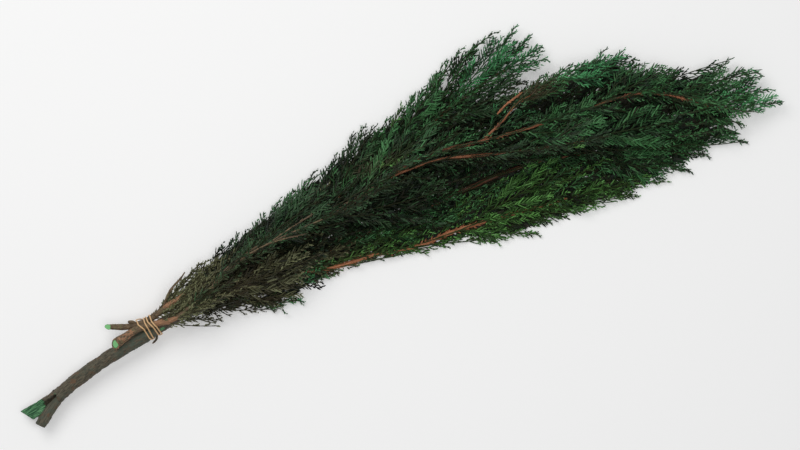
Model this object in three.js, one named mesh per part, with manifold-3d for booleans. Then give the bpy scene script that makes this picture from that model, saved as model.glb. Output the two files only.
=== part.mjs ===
// Preserved thuja bundle: three cut branches held together by a thin rubber band, lying down.
// Millimetres. +X runs from the cut stems to the leaf tips, +Y across the bundle, +Z up.
// The bundle rests on the plane Z = 0, on the flat undersides of its lowest fronds.

import * as THREE from 'three';
import { mergeVertices } from 'three/addons/utils/BufferGeometryUtils.js';
import Module from 'manifold-3d';

const wasm = await Module();
wasm.setup();

// Driving dimensions
const TOUCH_GAP = 0.3; // clear space where one piece meets another
const STEM_RADIUS = 6.75; // the thick stem at its butt
const UPPER_STUB_RADIUS = 3.1;
const LOWER_STUB_RADIUS = 4.4;
const BAND_RADIUS = 0.75;
const RIM_THICKNESS = 1.5; // a frond at its edge
const RIB_THICKNESS = 5.6; // a frond over its rib
const STALK_THICKNESS = 2.6; // a frond where it leaves the stem
const LOBE_SPACING = 19.5; // along the rib, one side spray to the next
const FROND_BOW = 0.045; // sideways bulge of a rib, as a share of its length
const LOBE_ANGLE = THREE.MathUtils.degToRad(34); // between a side spray and the rib
const EDGE_LAYER = 2.8; // height of one layer of fronds at the rim of the pile
const LAYER_GAP = 0.5; // clear height between one layer and the next
const RIB_ROOM = 0.72; // the most of its layer's height that a rib takes
const BOW_PLACE = 0.45; // where along its length a rib bows out most
const LAST_LOBE = 0.96; // share of the rib after which no side spray leaves it
const LAYERS_PER_BRANCH = 2; // fronds below and above each stem

// Layers, counted from the table: the thick branch, the upper one, and the middle one on top
const BRANCH_LAYER = { thick: 0, upper: 2, middle: 4 };

const BARK = { grey: '#5d5546', brown: '#6b5644', rust: '#8a5638', tan: '#a9733f' };
const LEAF = { deep: '#16301f', green: '#245234', bright: '#2f7a43', yellow: '#4c6128', olive: '#4a4a2a' };

// The pile of foliage, station by station: [x, middle y, half width, layer height, lift off the table]
const PILE = [
  [140, 38, 14, 3.6, 13],
  [200, 43, 26, 5.0, 8],
  [260, 48, 46, 6.6, 2.5],
  [320, 57, 50, 7.6, 0],
  [400, 68, 66, 8.2, 0],
  [480, 70, 84, 8.4, 0],
  [550, 72, 102, 8.2, 0],
  [620, 55, 92, 7.8, 0],
  [690, 36, 72, 6.6, 0],
  [750, 22, 52, 4.8, 0],
  [815, 12, 36, 3.2, 0],
];

function pileAt(x) {
  const last = PILE.length - 1;
  if (x <= PILE[0][0]) return PILE[0];
  if (x >= PILE[last][0]) return PILE[last];
  const i = PILE.findIndex((row) => row[0] > x) - 1;
  const t = THREE.MathUtils.smoothstep(x, PILE[i][0], PILE[i + 1][0]);
  return PILE[i].map((value, k) => THREE.MathUtils.lerp(value, PILE[i + 1][k], t));
}

// Height of the boundary under layer n at a place in the pile
function layerHeight(n, x, y) {
  const [, middle, halfWidth, layer, lift] = pileAt(x);
  const across = Math.min(Math.abs(y - middle) / halfWidth, 1);
  const step = EDGE_LAYER + (Math.max(layer, EDGE_LAYER) - EDGE_LAYER) * (1 - across * across);
  return lift + n * step;
}

// A mesh with shared vertices and no flat faces, as the boolean tools need it
function welded(geometry) {
  const bare = geometry.clone();
  bare.deleteAttribute('normal');
  bare.deleteAttribute('uv');
  const merged = mergeVertices(bare, 1e-4);
  const index = merged.getIndex().array;
  const kept = [];
  for (let i = 0; i < index.length; i += 3) {
    const [a, b, c] = [index[i], index[i + 1], index[i + 2]];
    if (a !== b && b !== c && c !== a) kept.push(a, b, c);
  }
  merged.setIndex(kept);
  return merged;
}

function solidOf(geometry) {
  const merged = welded(geometry);
  return new wasm.Manifold(new wasm.Mesh({
    numProp: 3,
    vertProperties: Float32Array.from(merged.getAttribute('position').array),
    triVerts: Uint32Array.from(merged.getIndex().array),
  }));
}

// The geometry of a solid's main body. Crumbs that a cut leaves beside it are dropped.
function geometryOf(solid) {
  const mesh = solid.getMesh();
  const leader = Array.from({ length: mesh.vertProperties.length / 3 }, (_, i) => i);
  function bodyOf(i) {
    let top = i;
    while (leader[top] !== top) top = leader[top];
    return top;
  }
  const triangles = [];
  for (let i = 0; i < mesh.triVerts.length; i += 3) {
    triangles.push(Array.from(mesh.triVerts.slice(i, i + 3)));
  }
  for (const [a, b, c] of triangles) {
    leader[bodyOf(a)] = bodyOf(b);
    leader[bodyOf(b)] = bodyOf(c);
  }
  const sizes = new Map();
  for (const [a] of triangles) sizes.set(bodyOf(a), (sizes.get(bodyOf(a)) ?? 0) + 1);
  const [main] = [...sizes].sort((p, q) => q[1] - p[1])[0];
  const geometry = new THREE.BufferGeometry();
  geometry.setAttribute('position', new THREE.BufferAttribute(Float32Array.from(mesh.vertProperties), 3));
  geometry.setIndex(triangles.filter(([a]) => bodyOf(a) === main).flat());
  return geometry;
}

// A tapered rod bent along a route. stations: [x, y, z, radius]. The start face can be cut on
// the slant (cut.up and cut.side are slopes), the section flattened, and the bark made uneven.
function rod(stations, { sides = 8, rings = 8, grow = 0, flatten = 1, cut = {}, knobby = 0 } = {}) {
  const route = new THREE.CatmullRomCurve3(stations.map(([x, y, z]) => new THREE.Vector3(x, y, z)));
  const { up: cutUp = 0, side: cutSide = 0 } = cut;
  const profile = [new THREE.Vector2(0, 0)];
  for (let i = 0; i <= rings; i += 1) profile.push(new THREE.Vector2(1, i / rings));
  profile.push(new THREE.Vector2(0, 1));
  const geometry = new THREE.LatheGeometry(profile, sides);
  const position = geometry.getAttribute('position');
  const length = route.getLength();
  for (let i = 0; i < position.count; i += 1) {
    const [side, t, up] = [position.getX(i), position.getY(i), position.getZ(i)];
    const centre = route.getPoint(t);
    const ahead = route.getTangent(t);
    const across = ahead.clone().cross(new THREE.Vector3(0, 0, 1)).normalize();
    const upward = across.clone().cross(ahead);
    const place = t * (stations.length - 1);
    const k = Math.min(Math.floor(place), stations.length - 2);
    const twist = 3 * Math.atan2(up, side) + 0.09 * t * length;
    const bump = 1 + knobby * Math.sin(twist) * Math.sin(0.045 * t * length);
    const radius = THREE.MathUtils.lerp(stations[k][3], stations[k + 1][3], place - k) * bump + grow;
    const slant = t === 0 ? radius * (cutUp * up + cutSide * side) : 0;
    centre.addScaledVector(across, radius * side);
    centre.addScaledVector(upward, radius * up * flatten);
    centre.addScaledVector(ahead, slant);
    position.setXYZ(i, centre.x, centre.y, centre.z);
  }
  return geometry;
}

// Routes of the stems and of the leaders that fork from them. The stubs and the tied stretch
// have heights of their own, and inside the pile each route follows the layers of its branch.
function inPile(branch, points) {
  const layer = BRANCH_LAYER[branch] + LAYERS_PER_BRANCH / 2;
  return points.map(([x, y, radius]) => [x, y, layerHeight(layer, x, y), radius]);
}

const ROUTES = {
  thick_stem: [
    [-4, 4.6, 13.5, STEM_RADIUS],
    [25, 8.5, 14.5, STEM_RADIUS],
    [50, 15.8, 15.5, STEM_RADIUS],
    [75, 21.8, 16.8, STEM_RADIUS],
    [100, 26.8, 18.2, STEM_RADIUS],
    [125, 30, 19.3, 6.5],
    [150, 34, 19.2, 6.2],
    [172, 37, 16.6, 6],
    ...inPile('thick', [[205, 40, 5.6], [260, 40, 5], [330, 36, 4.4]]),
  ],
  upper_stem: [
    [106.5, 54, 22, UPPER_STUB_RADIUS],
    [116, 50, 21.8, UPPER_STUB_RADIUS],
    [127, 46, 21.5, 3.2],
    [143, 44.3, 21.5, 3.2],
    [156, 46.5, 22.5, 3],
    [172, 51, 23, 2.7],
    ...inPile('upper', [[200, 55.5, 2.7], [235, 62, 2.7], [270, 67, 2.6], [300, 69, 2.5], [335, 73, 2.4]]),
  ],
  middle_stem: [
    [108, 35.6, 28, LOWER_STUB_RADIUS],
    [120, 38.3, 28, 4],
    [132, 40.3, 28.2, 3.6],
    [143, 39.8, 28.4, 3.3],
    [156, 37.6, 29.6, 3],
    [172, 36, 31.2, 2.6],
    ...inPile('middle', [[205, 44, 2.6], [235, 58, 2.6], [265, 66.5, 2.6], [300, 69, 2.5], [350, 70, 2.4]]),
    ...inPile('middle', [[395, 76, 2.3], [431, 84, 2.2]]),
  ],
  lower_leader: inPile('thick', [
    [290, 38, 3.4], [318, 25.5, 3.3], [345, 19.5, 3.2], [372, 17.5, 3.1], [400, 11.5, 3], [428, 7, 3],
    [458, 7, 2.8], [490, 4, 2.6], [550, -4, 2], [610, -11, 1.6],
  ]),
  thick_leader: inPile('thick', [
    [330.6, 36, 4.2], [400, 38, 3.8], [490, 41, 3.2], [545, 40, 2.8], [610, 28, 2.4], [670, 8, 2],
    [715, -6, 1.5],
  ]),
  upper_leader: inPile('upper', [
    [335.6, 73.2, 2.4], [400, 92, 2.2], [450, 106, 2], [500, 120, 1.8], [545, 131, 1.5], [580, 137, 1.2],
  ]),
  inner_leader: inPile('middle', [
    [418, 81.4, 1.8], [455, 80.6, 1.8], [480, 77.5, 1.8], [505, 69.5, 1.7], [535, 60, 1.6],
    [580, 48, 1.4], [620, 38, 1.2],
  ]),
  far_leader: inPile('middle', [
    [431.6, 84.4, 2.2], [457, 87, 2.1], [485, 84.5, 2.1], [520, 79, 2.1], [560, 73.5, 2], [600, 70, 2],
    [645, 67, 2], [680, 62.5, 1.8], [705, 52, 1.6], [725, 38, 1.5], [745, 23, 1.4], [768, 9, 1.2],
  ]),
  outer_leader: inPile('middle', [
    [522, 79, 1.7], [545, 88, 1.7], [562, 96.5, 1.7], [580, 102, 1.6], [605, 105, 1.4], [630, 106, 1.2],
  ]),
};

// Each frond: [stem it grows from, x of its base, tip x, tip y, half width,
// layer above (1) or below (0) its stem, colour]
const FRONDS = {
  thick: [
    ['thick_stem', 172, 214, 15.5, 6, 1, 'olive'],
    ['thick_stem', 190, 264, 6, 13, 0, 'olive'],
    ['thick_stem', 228, 293.5, 2, 12, 1, 'olive'],
    ['thick_stem', 264, 340, 13, 14, 0, 'olive'],
    ['lower_leader', 338, 412, 6, 11, 0, 'green'],
    ['lower_leader', 392, 463, -3.5, 9, 1, 'yellow'],
    ['lower_leader', 430, 505, -17, 10, 0, 'yellow'],
    ['lower_leader', 462, 539, -28, 9, 1, 'yellow'],
    ['lower_leader', 505, 600, -21, 14, 0, 'yellow'],
    ['lower_leader', 548, 645, -30.5, 11, 1, 'yellow'],
    ['lower_leader', 592, 677, -26, 10, 0, 'green'],
    ['thick_leader', 604, 702.5, -29, 17, 1, 'green'],
    ['thick_leader', 652, 726, -21, 13, 0, 'green'],
    ['thick_leader', 704, 766.5, -24, 11, 1, 'green'],
    ['thick_leader', 350, 470, 72, 22, 0, 'deep'],
    ['thick_leader', 462, 582, 76, 22, 0, 'deep'],
    ['thick_leader', 566, 685, 54, 22, 0, 'deep'],
    ['thick_leader', 672, 752, 15, 14, 0, 'deep'],
    ['thick_leader', 352, 490, 24, 15, 1, 'green'],
    ['lower_leader', 470, 606, 19, 21, 1, 'yellow'],
  ],
  upper: [
    ['upper_stem', 169, 217, 75.5, 6, 1, 'olive'],
    ['upper_stem', 197, 257, 86, 9, 0, 'deep'],
    ['upper_stem', 224, 297, 93, 10, 1, 'deep'],
    ['upper_stem', 258, 333, 108, 12, 0, 'green'],
    ['upper_stem', 292, 358.5, 112.5, 12, 1, 'green'],
    ['upper_leader', 340, 394, 125, 11, 0, 'deep'],
    ['upper_leader', 362, 430, 135, 16, 1, 'bright'],
    ['upper_leader', 402, 480, 140, 13, 0, 'green'],
    ['upper_leader', 432, 520, 159, 14, 1, 'green'],
    ['upper_leader', 466, 560, 172, 15, 0, 'green'],
    ['upper_leader', 503, 597, 168, 14, 1, 'bright'],
    ['upper_leader', 538, 609, 156, 12, 0, 'bright'],
    ['upper_leader', 568, 615, 139, 12, 1, 'bright'],
    ['upper_stem', 214, 340, 58, 16, 0, 'olive'],
    ['upper_stem', 326, 440, 80, 19, 0, 'deep'],
    ['upper_leader', 424, 556, 98, 23, 0, 'deep'],
    ['upper_leader', 480, 584, 117, 15, 1, 'deep'],
  ],
  middle: [
    ['middle_stem', 208, 335, 38, 19, 0, 'olive'],
    ['middle_stem', 350, 472, 48, 22, 0, 'deep'],
    ['middle_stem', 262, 372, 92, 18, 1, 'deep'],
    ['middle_stem', 380, 490, 114, 20, 1, 'green'],
    ['inner_leader', 545, 656, 60, 20, 1, 'green'],
    ['inner_leader', 606, 716, 17, 22, 0, 'deep'],
    ['outer_leader', 560, 634, 116, 13, 1, 'green'],
    ['outer_leader', 618, 698, 94, 19, 0, 'bright'],
    ['far_leader', 646, 739, 72, 16, 1, 'green'],
    ['far_leader', 684, 781, 57, 13, 0, 'green'],
    ['far_leader', 712, 804.5, 34, 11, 1, 'green'],
    ['far_leader', 738, 802.5, 16.5, 12, 0, 'green'],
    ['far_leader', 764, 812.5, -2, 11, 1, 'bright'],
  ],
};

const solids = {};
const group = new THREE.Group();

// Adds one named piece with a material of its own
function addPiece(name, geometry, colour, roughness) {
  const material = new THREE.MeshStandardMaterial({ color: colour, roughness, metalness: 0 });
  const mesh = new THREE.Mesh(geometry, material);
  mesh.name = name;
  group.add(mesh);
}

const ROD_OPTIONS = {
  thick_stem: { sides: 12, rings: 17, knobby: 0.035, cut: { side: 0.52 } },
  upper_stem: { sides: 8, rings: 14, knobby: 0.03, cut: { up: 1, side: 0.2 } },
  middle_stem: { sides: 8, rings: 14, knobby: 0.04, cut: { up: 0.95, side: -0.3 } },
  thick_leader: { sides: 7, rings: 14 },
  lower_leader: { sides: 6, rings: 12 },
  upper_leader: { sides: 6, rings: 12 },
  inner_leader: { sides: 6, rings: 10 },
  far_leader: { sides: 6, rings: 15 },
  outer_leader: { sides: 6, rings: 8 },
};

// The rod of each stem, grown by the touching gap, with which the pieces that leave it are cut
const CLEARANCES = Object.fromEntries(Object.entries(ROD_OPTIONS).map(([name, options]) => [
  name, solidOf(rod(ROUTES[name], { ...options, grow: TOUCH_GAP })),
]));

// The thick stem's butt is cleft: one half goes on straight with its split face up, and the
// other half bends away to the side. A small hooked twig stands out beside the band.
function makeThickStem() {
  const split = new THREE.BoxGeometry(46, 30, 14);
  split.rotateY(THREE.MathUtils.degToRad(-4));
  split.translate(8, 5, 21.2);
  const prongStations = [
    [40, 12, 17.4, 4.2],
    [28, 7.6, 17.2, 4.8],
    [17, 1.6, 17, 4.9],
    [9, -4.8, 16.4, 4.8],
    [4.4, -10.4, 15.6, 4.6],
  ];
  const prong = rod(prongStations, { sides: 10, rings: 7, flatten: 0.62 });
  const hookStations = [
    [147.2, 30, 17, 1.5],
    [146.6, 26, 15.5, 1.3],
    [144.8, 23.6, 14.6, 1.1],
    [142.4, 22.4, 14.8, 1],
    [139.8, 21.6, 15.2, 0.8],
  ];
  const hook = rod(hookStations, { sides: 6, rings: 5 });
  const body = solidOf(rod(ROUTES.thick_stem, ROD_OPTIONS.thick_stem));
  return body.subtract(solidOf(split)).add(solidOf(prong)).add(solidOf(hook));
}

// The upper stem keeps a small peeled nub of a side twig, and a bare dead twig behind the tie
function makeUpperStem() {
  const nubStations = [[133, 46, 22.5, 1.6], [130.5, 49.5, 23, 1.7], [127, 51, 23.2, 1.1]];
  const nub = rod(nubStations, { sides: 6, rings: 3 });
  const twigStations = [
    [162, 48, 23, 1.2],
    [172, 58, 25, 1.1],
    [182, 65.5, 27, 1.1],
    [192, 70, 28, 1],
    [199, 74.5, 28.5, 0.8],
  ];
  const deadTwig = rod(twigStations, { sides: 6, rings: 6 });
  const body = solidOf(rod(ROUTES.upper_stem, ROD_OPTIONS.upper_stem));
  return body.add(solidOf(nub)).add(solidOf(deadTwig));
}

// A leader that forks off begins inside its parents and is cut back to their bark
function forkFrom(name, ...parents) {
  let leader = solidOf(rod(ROUTES[name], ROD_OPTIONS[name]));
  for (const parent of parents) leader = leader.subtract(CLEARANCES[parent]);
  return leader;
}

solids.thick_stem = makeThickStem();
solids.upper_stem = makeUpperStem();
solids.middle_stem = solidOf(rod(ROUTES.middle_stem, ROD_OPTIONS.middle_stem));
solids.thick_leader = solidOf(rod(ROUTES.thick_leader, ROD_OPTIONS.thick_leader));
solids.lower_leader = forkFrom('lower_leader', 'thick_stem', 'thick_leader');
solids.upper_leader = solidOf(rod(ROUTES.upper_leader, ROD_OPTIONS.upper_leader));
solids.inner_leader = forkFrom('inner_leader', 'middle_stem', 'far_leader');
solids.far_leader = solidOf(rod(ROUTES.far_leader, ROD_OPTIONS.far_leader));
solids.outer_leader = forkFrom('outer_leader', 'far_leader');

const STEM_COLOURS = {
  thick_stem: BARK.grey,
  upper_stem: BARK.brown,
  middle_stem: BARK.rust,
  thick_leader: BARK.brown,
  lower_leader: BARK.rust,
  upper_leader: BARK.rust,
  inner_leader: BARK.tan,
  far_leader: BARK.tan,
  outer_leader: BARK.rust,
};
for (const [name, solid] of Object.entries(solids)) {
  addPiece(name, geometryOf(solid), STEM_COLOURS[name], 0.85);
}

// Point of a route where it reaches a given x, found by halving
function routeAt(name, x) {
  const route = new THREE.CatmullRomCurve3(ROUTES[name].map(([a, b, c]) => new THREE.Vector3(a, b, c)));
  let [low, high] = [0, 1];
  for (let i = 0; i < 24; i += 1) {
    const middle = (low + high) / 2;
    if (route.getPoint(middle).x < x) low = middle;
    else high = middle;
  }
  return route.getPoint(low);
}

// One frond: a flat plume with a serrated edge of side sprays. Its flat face lies on the
// boundary of its layer, and its rib stands towards the stem's level.
function frondGeometry(base, tip, halfWidth, layer, bow) {
  const flat = new THREE.Vector2(tip.x - base.x, tip.y - base.y);
  const length = flat.length();
  const start = new THREE.Vector2(base.x, base.y);
  const outward = new THREE.Vector2(-flat.y, flat.x).multiplyScalar(bow);
  const control = start.clone().addScaledVector(flat, BOW_PLACE).add(outward);
  const rib = new THREE.QuadraticBezierCurve(start, control, tip);
  const lobes = Math.max(3, Math.round(length / LOBE_SPACING));
  const above = layer % LAYERS_PER_BRANCH === 1;
  const blendLength = Math.min(32, 0.4 * length);

  const vertices = [];
  // Adds the two points, upper and lower, of one place of the plan
  function addPlace(x, y, thickness) {
    const reach = Math.hypot(x - base.x, y - base.y);
    const settle = THREE.MathUtils.smoothstep(reach, 0, blendLength);
    const face = above ? layerHeight(layer + 1, x, y) - LAYER_GAP : layerHeight(layer, x, y);
    const settledLow = above ? face - thickness : face;
    const low = THREE.MathUtils.lerp(base.z - thickness / 2, settledLow, settle);
    vertices.push(x, y, low + thickness, x, y, low);
    return vertices.length / 6 - 1;
  }

  // Thickness over the rib: thin at the stalk, full soon after it, and thin again at the tip
  function ribThickness(s) {
    const swell = Math.sin(Math.PI * Math.min(1, 0.15 + s)) ** 0.7;
    const point = rib.getPoint(s);
    const room = (layerHeight(1, point.x, point.y) - layerHeight(0, point.x, point.y)) * RIB_ROOM;
    const full = Math.min(RIB_THICKNESS, room);
    const thickness = THREE.MathUtils.lerp(STALK_THICKNESS, full, Math.min(1, s * 4));
    return Math.max(RIM_THICKNESS, thickness * swell);
  }

  const ribPlaces = [];
  for (let k = 0; k <= lobes; k += 1) {
    const s = (k / lobes) * LAST_LOBE;
    const point = rib.getPoint(s);
    ribPlaces.push(addPlace(point.x, point.y, ribThickness(s)));
  }
  const tipPlace = addPlace(tip.x, tip.y, RIM_THICKNESS);

  // Half width of the plume along the rib
  function reachAt(s) {
    return halfWidth * Math.min(1, 0.06 + 2.3 * s) * Math.min(1, 2.6 * (1.02 - s)) ** 0.8;
  }

  const sidesOfRib = [1, -1].map((side) => {
    const places = [];
    for (let k = 0; k < lobes; k += 1) {
      const root = (k / lobes) * LAST_LOBE;
      const point = rib.getPoint(root);
      const ahead = rib.getTangent(root);
      const across = new THREE.Vector2(-ahead.y * side, ahead.x * side);
      const notch = k === 0 ? 1.3 : reachAt(root) * 0.5;
      const forward = notch / Math.tan(LOBE_ANGLE) * 0.5;
      const notchX = point.x + across.x * notch + ahead.x * forward;
      const notchY = point.y + across.y * notch + ahead.y * forward;
      const reach = reachAt(root + 0.5 / lobes);
      const sprayX = point.x + across.x * reach + ahead.x * (reach / Math.tan(LOBE_ANGLE));
      const sprayY = point.y + across.y * reach + ahead.y * (reach / Math.tan(LOBE_ANGLE));
      places.push(addPlace(notchX, notchY, RIM_THICKNESS), addPlace(sprayX, sprayY, RIM_THICKNESS));
    }
    return places;
  });

  const triangles = [];
  // A triangle of the plan, on the upper and the lower face; turn tells its sense of rotation
  function addFacet(a, b, c, turn) {
    const [p, q] = turn > 0 ? [b, c] : [c, b];
    triangles.push(2 * a, 2 * p, 2 * q, 2 * a + 1, 2 * q + 1, 2 * p + 1);
  }

  sidesOfRib.forEach((places, which) => {
    const turn = which === 0 ? -1 : 1;
    for (let k = 0; k < lobes; k += 1) {
      const [notch, spray] = [places[2 * k], places[2 * k + 1]];
      const next = k + 1 < lobes ? places[2 * k + 2] : tipPlace;
      addFacet(ribPlaces[k], notch, spray, turn);
      addFacet(ribPlaces[k], spray, next, turn);
      addFacet(ribPlaces[k], next, ribPlaces[k + 1], turn);
    }
  });

  // The thin edge all round: out along one side, round the tip and back along the other
  const edge = [ribPlaces[0], ...sidesOfRib[1], tipPlace, ...sidesOfRib[0].slice().reverse()];
  edge.forEach((from, i) => {
    const to = edge[(i + 1) % edge.length];
    triangles.push(2 * from, 2 * from + 1, 2 * to + 1, 2 * from, 2 * to + 1, 2 * to);
  });

  const geometry = new THREE.BufferGeometry();
  geometry.setAttribute('position', new THREE.BufferAttribute(Float32Array.from(vertices), 3));
  geometry.setIndex(triangles);
  return geometry;
}

// The stems and leaders of each branch, with which its fronds are cut
const BRANCH_STEMS = {
  thick: ['thick_stem', 'thick_leader', 'lower_leader'],
  upper: ['upper_stem', 'upper_leader'],
  middle: ['middle_stem', 'inner_leader', 'far_leader', 'outer_leader'],
};

for (const [branch, rows] of Object.entries(FRONDS)) {
  rows.forEach(([stem, baseX, tipX, tipY, halfWidth, above, colour], i) => {
    const base = routeAt(stem, baseX);
    const tip = new THREE.Vector2(tipX, tipY);
    const ahead = routeAt(stem, baseX + 4).sub(base);
    const turn = ahead.x * (tipY - base.y) - ahead.y * (tipX - base.x);
    const bow = FROND_BOW * Math.sign(turn);
    let frond = solidOf(frondGeometry(base, tip, halfWidth, BRANCH_LAYER[branch] + above, bow));
    for (const name of BRANCH_STEMS[branch]) frond = frond.subtract(CLEARANCES[name]);
    addPiece(`${branch}_frond_${String(i + 1).padStart(2, '0')}`, geometryOf(frond), LEAF[colour], 0.75);
  });
}

// The rubber band: one thin closed loop wound four times round the three stems. Each turn is
// [x at the upper side, x at the lower side], and the return strand runs outside the others.
const BAND_TURNS = [[134.8, 141.6], [142.2, 143.9], [144.5, 150.3], [148.4, 153.2]];
const BAND_POINTS_PER_TURN = 18;
const RETURN_RISE = 1.9; // how far the return strand stands outside the others
const TIED_RADII = { thick_stem: 6.55, upper_stem: 3.35, middle_stem: 3.75 };

function bandRoute() {
  const points = [];
  BAND_TURNS.forEach(([upperX, lowerX], turn) => {
    const returning = turn === BAND_TURNS.length - 1;
    const nextX = returning ? BAND_TURNS[0][0] : BAND_TURNS[turn + 1][0];
    for (let i = 0; i < BAND_POINTS_PER_TURN; i += 1) {
      const part = i / BAND_POINTS_PER_TURN;
      const over = part < 0.5;
      const [from, to] = over ? [upperX, lowerX] : [lowerX, nextX];
      const share = over ? part * 2 : part * 2 - 1;
      const outside = returning && !over ? RETURN_RISE * Math.sin(Math.PI * share) ** 0.6 : 0;
      points.push(bandPoint(THREE.MathUtils.lerp(from, to, share), part * 2 * Math.PI, outside));
    }
  });
  return new THREE.CatmullRomCurve3(points, true);
}

// A point of the tight outline round the stems at one x: the stem that reaches furthest that
// way holds the band
function bandPoint(x, angle, outside) {
  const [cosine, sine] = [Math.cos(angle), Math.sin(angle)];
  let best = null;
  for (const name of ['thick_stem', 'upper_stem', 'middle_stem']) {
    const centre = routeAt(name, x);
    const radius = TIED_RADII[name] + TOUCH_GAP + BAND_RADIUS + outside;
    const reach = centre.y * cosine + centre.z * sine + radius;
    if (!best || reach > best.reach) best = { reach, centre, radius };
  }
  return new THREE.Vector3(x, best.centre.y + best.radius * cosine, best.centre.z + best.radius * sine);
}

function makeBand() {
  const route = bandRoute();
  const [around, along] = [5, 56];
  const ring = new THREE.TorusGeometry(10, 1, around, along);
  const position = ring.getAttribute('position');
  for (let i = 0; i < position.count; i += 1) {
    const turn = (i % (along + 1)) / along;
    const roll = (Math.floor(i / (along + 1)) / around) * 2 * Math.PI;
    const centre = route.getPoint(turn % 1);
    const ahead = route.getTangent(turn % 1);
    const side = new THREE.Vector3(1, 0, 0).addScaledVector(ahead, -ahead.x).normalize();
    const out = side.clone().cross(ahead);
    centre.addScaledVector(side, BAND_RADIUS * Math.cos(roll));
    centre.addScaledVector(out, BAND_RADIUS * Math.sin(roll));
    position.setXYZ(i, centre.x, centre.y, centre.z);
  }
  return geometryOf(solidOf(ring));
}

addPiece('rubber_band', makeBand(), '#d9a877', 0.6);

// The origin is under the middle of the whole bundle, on the surface it lies on
group.updateMatrixWorld(true);
const box = new THREE.Box3().setFromObject(group);
group.position.set(-(box.min.x + box.max.x) / 2, -(box.min.y + box.max.y) / 2, -box.min.z);

export default group;
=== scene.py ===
# Preserved thuja bundle: three cut branches tied with a rubber band, lying on a pale floor.
# The solids have the plain shapes; this file dresses them with bark, twigs of scale leaves
# and the band. Plan measures are in millimetres, as the part's source has them.
import math

import bpy
import numpy as np
from bpy.props import FloatProperty, FloatVectorProperty, PointerProperty
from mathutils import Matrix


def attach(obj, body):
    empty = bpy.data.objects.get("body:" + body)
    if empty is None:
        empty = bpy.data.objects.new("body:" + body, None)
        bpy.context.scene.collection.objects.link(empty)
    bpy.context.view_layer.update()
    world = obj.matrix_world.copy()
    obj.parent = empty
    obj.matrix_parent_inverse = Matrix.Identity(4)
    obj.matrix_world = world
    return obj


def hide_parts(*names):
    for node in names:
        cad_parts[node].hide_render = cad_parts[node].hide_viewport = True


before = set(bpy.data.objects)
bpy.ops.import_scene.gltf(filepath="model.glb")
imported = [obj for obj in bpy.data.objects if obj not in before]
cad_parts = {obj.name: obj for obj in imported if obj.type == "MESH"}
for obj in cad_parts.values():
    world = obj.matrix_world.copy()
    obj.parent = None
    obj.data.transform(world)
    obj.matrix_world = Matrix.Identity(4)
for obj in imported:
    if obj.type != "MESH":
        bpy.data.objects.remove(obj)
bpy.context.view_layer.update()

bl_info = {
    "name": "Preserved thuja bundle",
    "version": (1, 0, 0),
    "blender": (4, 5, 0),
    "location": "View3D > Sidebar > Thuja",
    "description": "Dresses the solids of a tied thuja bundle with bark, sprays and a band",
    "category": "Object",
}

BODY = "root"
MM = 0.001

# The plan's own origin lies beside the butt; the part's frame has it under the bundle's middle
PLAN_MIDDLE = np.array([402.097, 68.930, 0.0])

EDGE_LAYER = 2.8  # height of one layer of fronds at the rim of the pile
BRANCH_LAYER = {"thick": 0, "upper": 2, "middle": 4}
STEM_LAYER = 1  # a stem runs on top of the first layer of its own branch
TOP_LAYER = 5.9  # above this layer the twigs lie flatter
TOP_FLATTEN = 0.4  # and their height over it is this share of what it was
ROUTE_STEP = 0.002  # share of a route over which its direction is taken

# The pile of foliage: x, middle y, half width, layer height, lift off the table
PILE = np.array([
    [140, 38, 14, 3.6, 13],
    [200, 43, 26, 5.0, 8],
    [260, 48, 46, 6.6, 2.5],
    [320, 57, 50, 7.6, 0],
    [400, 68, 66, 8.2, 0],
    [480, 70, 84, 8.4, 0],
    [550, 72, 102, 8.2, 0],
    [620, 55, 92, 7.8, 0],
    [690, 36, 72, 6.6, 0],
    [750, 22, 52, 4.8, 0],
    [815, 12, 36, 3.2, 0],
])


def pile_at(x):
    """Middle y, half width, layer height and lift of the pile at many x."""
    x = np.clip(x, PILE[0, 0], PILE[-1, 0])
    row = np.clip(np.searchsorted(PILE[:, 0], x, side="right") - 1, 0, len(PILE) - 2)
    low, high = PILE[row], PILE[row + 1]
    t = (x - low[..., 0]) / (high[..., 0] - low[..., 0])
    t = (t * t * (3 - 2 * t))[..., None]
    return np.moveaxis(low[..., 1:] + (high[..., 1:] - low[..., 1:]) * t, -1, 0)


def layer_height(n, x, y):
    """Height of the boundary under layer n at many places; n may lie between two layers."""
    middle, half_width, layer, lift = pile_at(np.asarray(x, float))
    across = np.minimum(np.abs(y - middle) / half_width, 1)
    step = EDGE_LAYER + (np.maximum(layer, EDGE_LAYER) - EDGE_LAYER) * (1 - across * across)
    return lift + n * step


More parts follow.
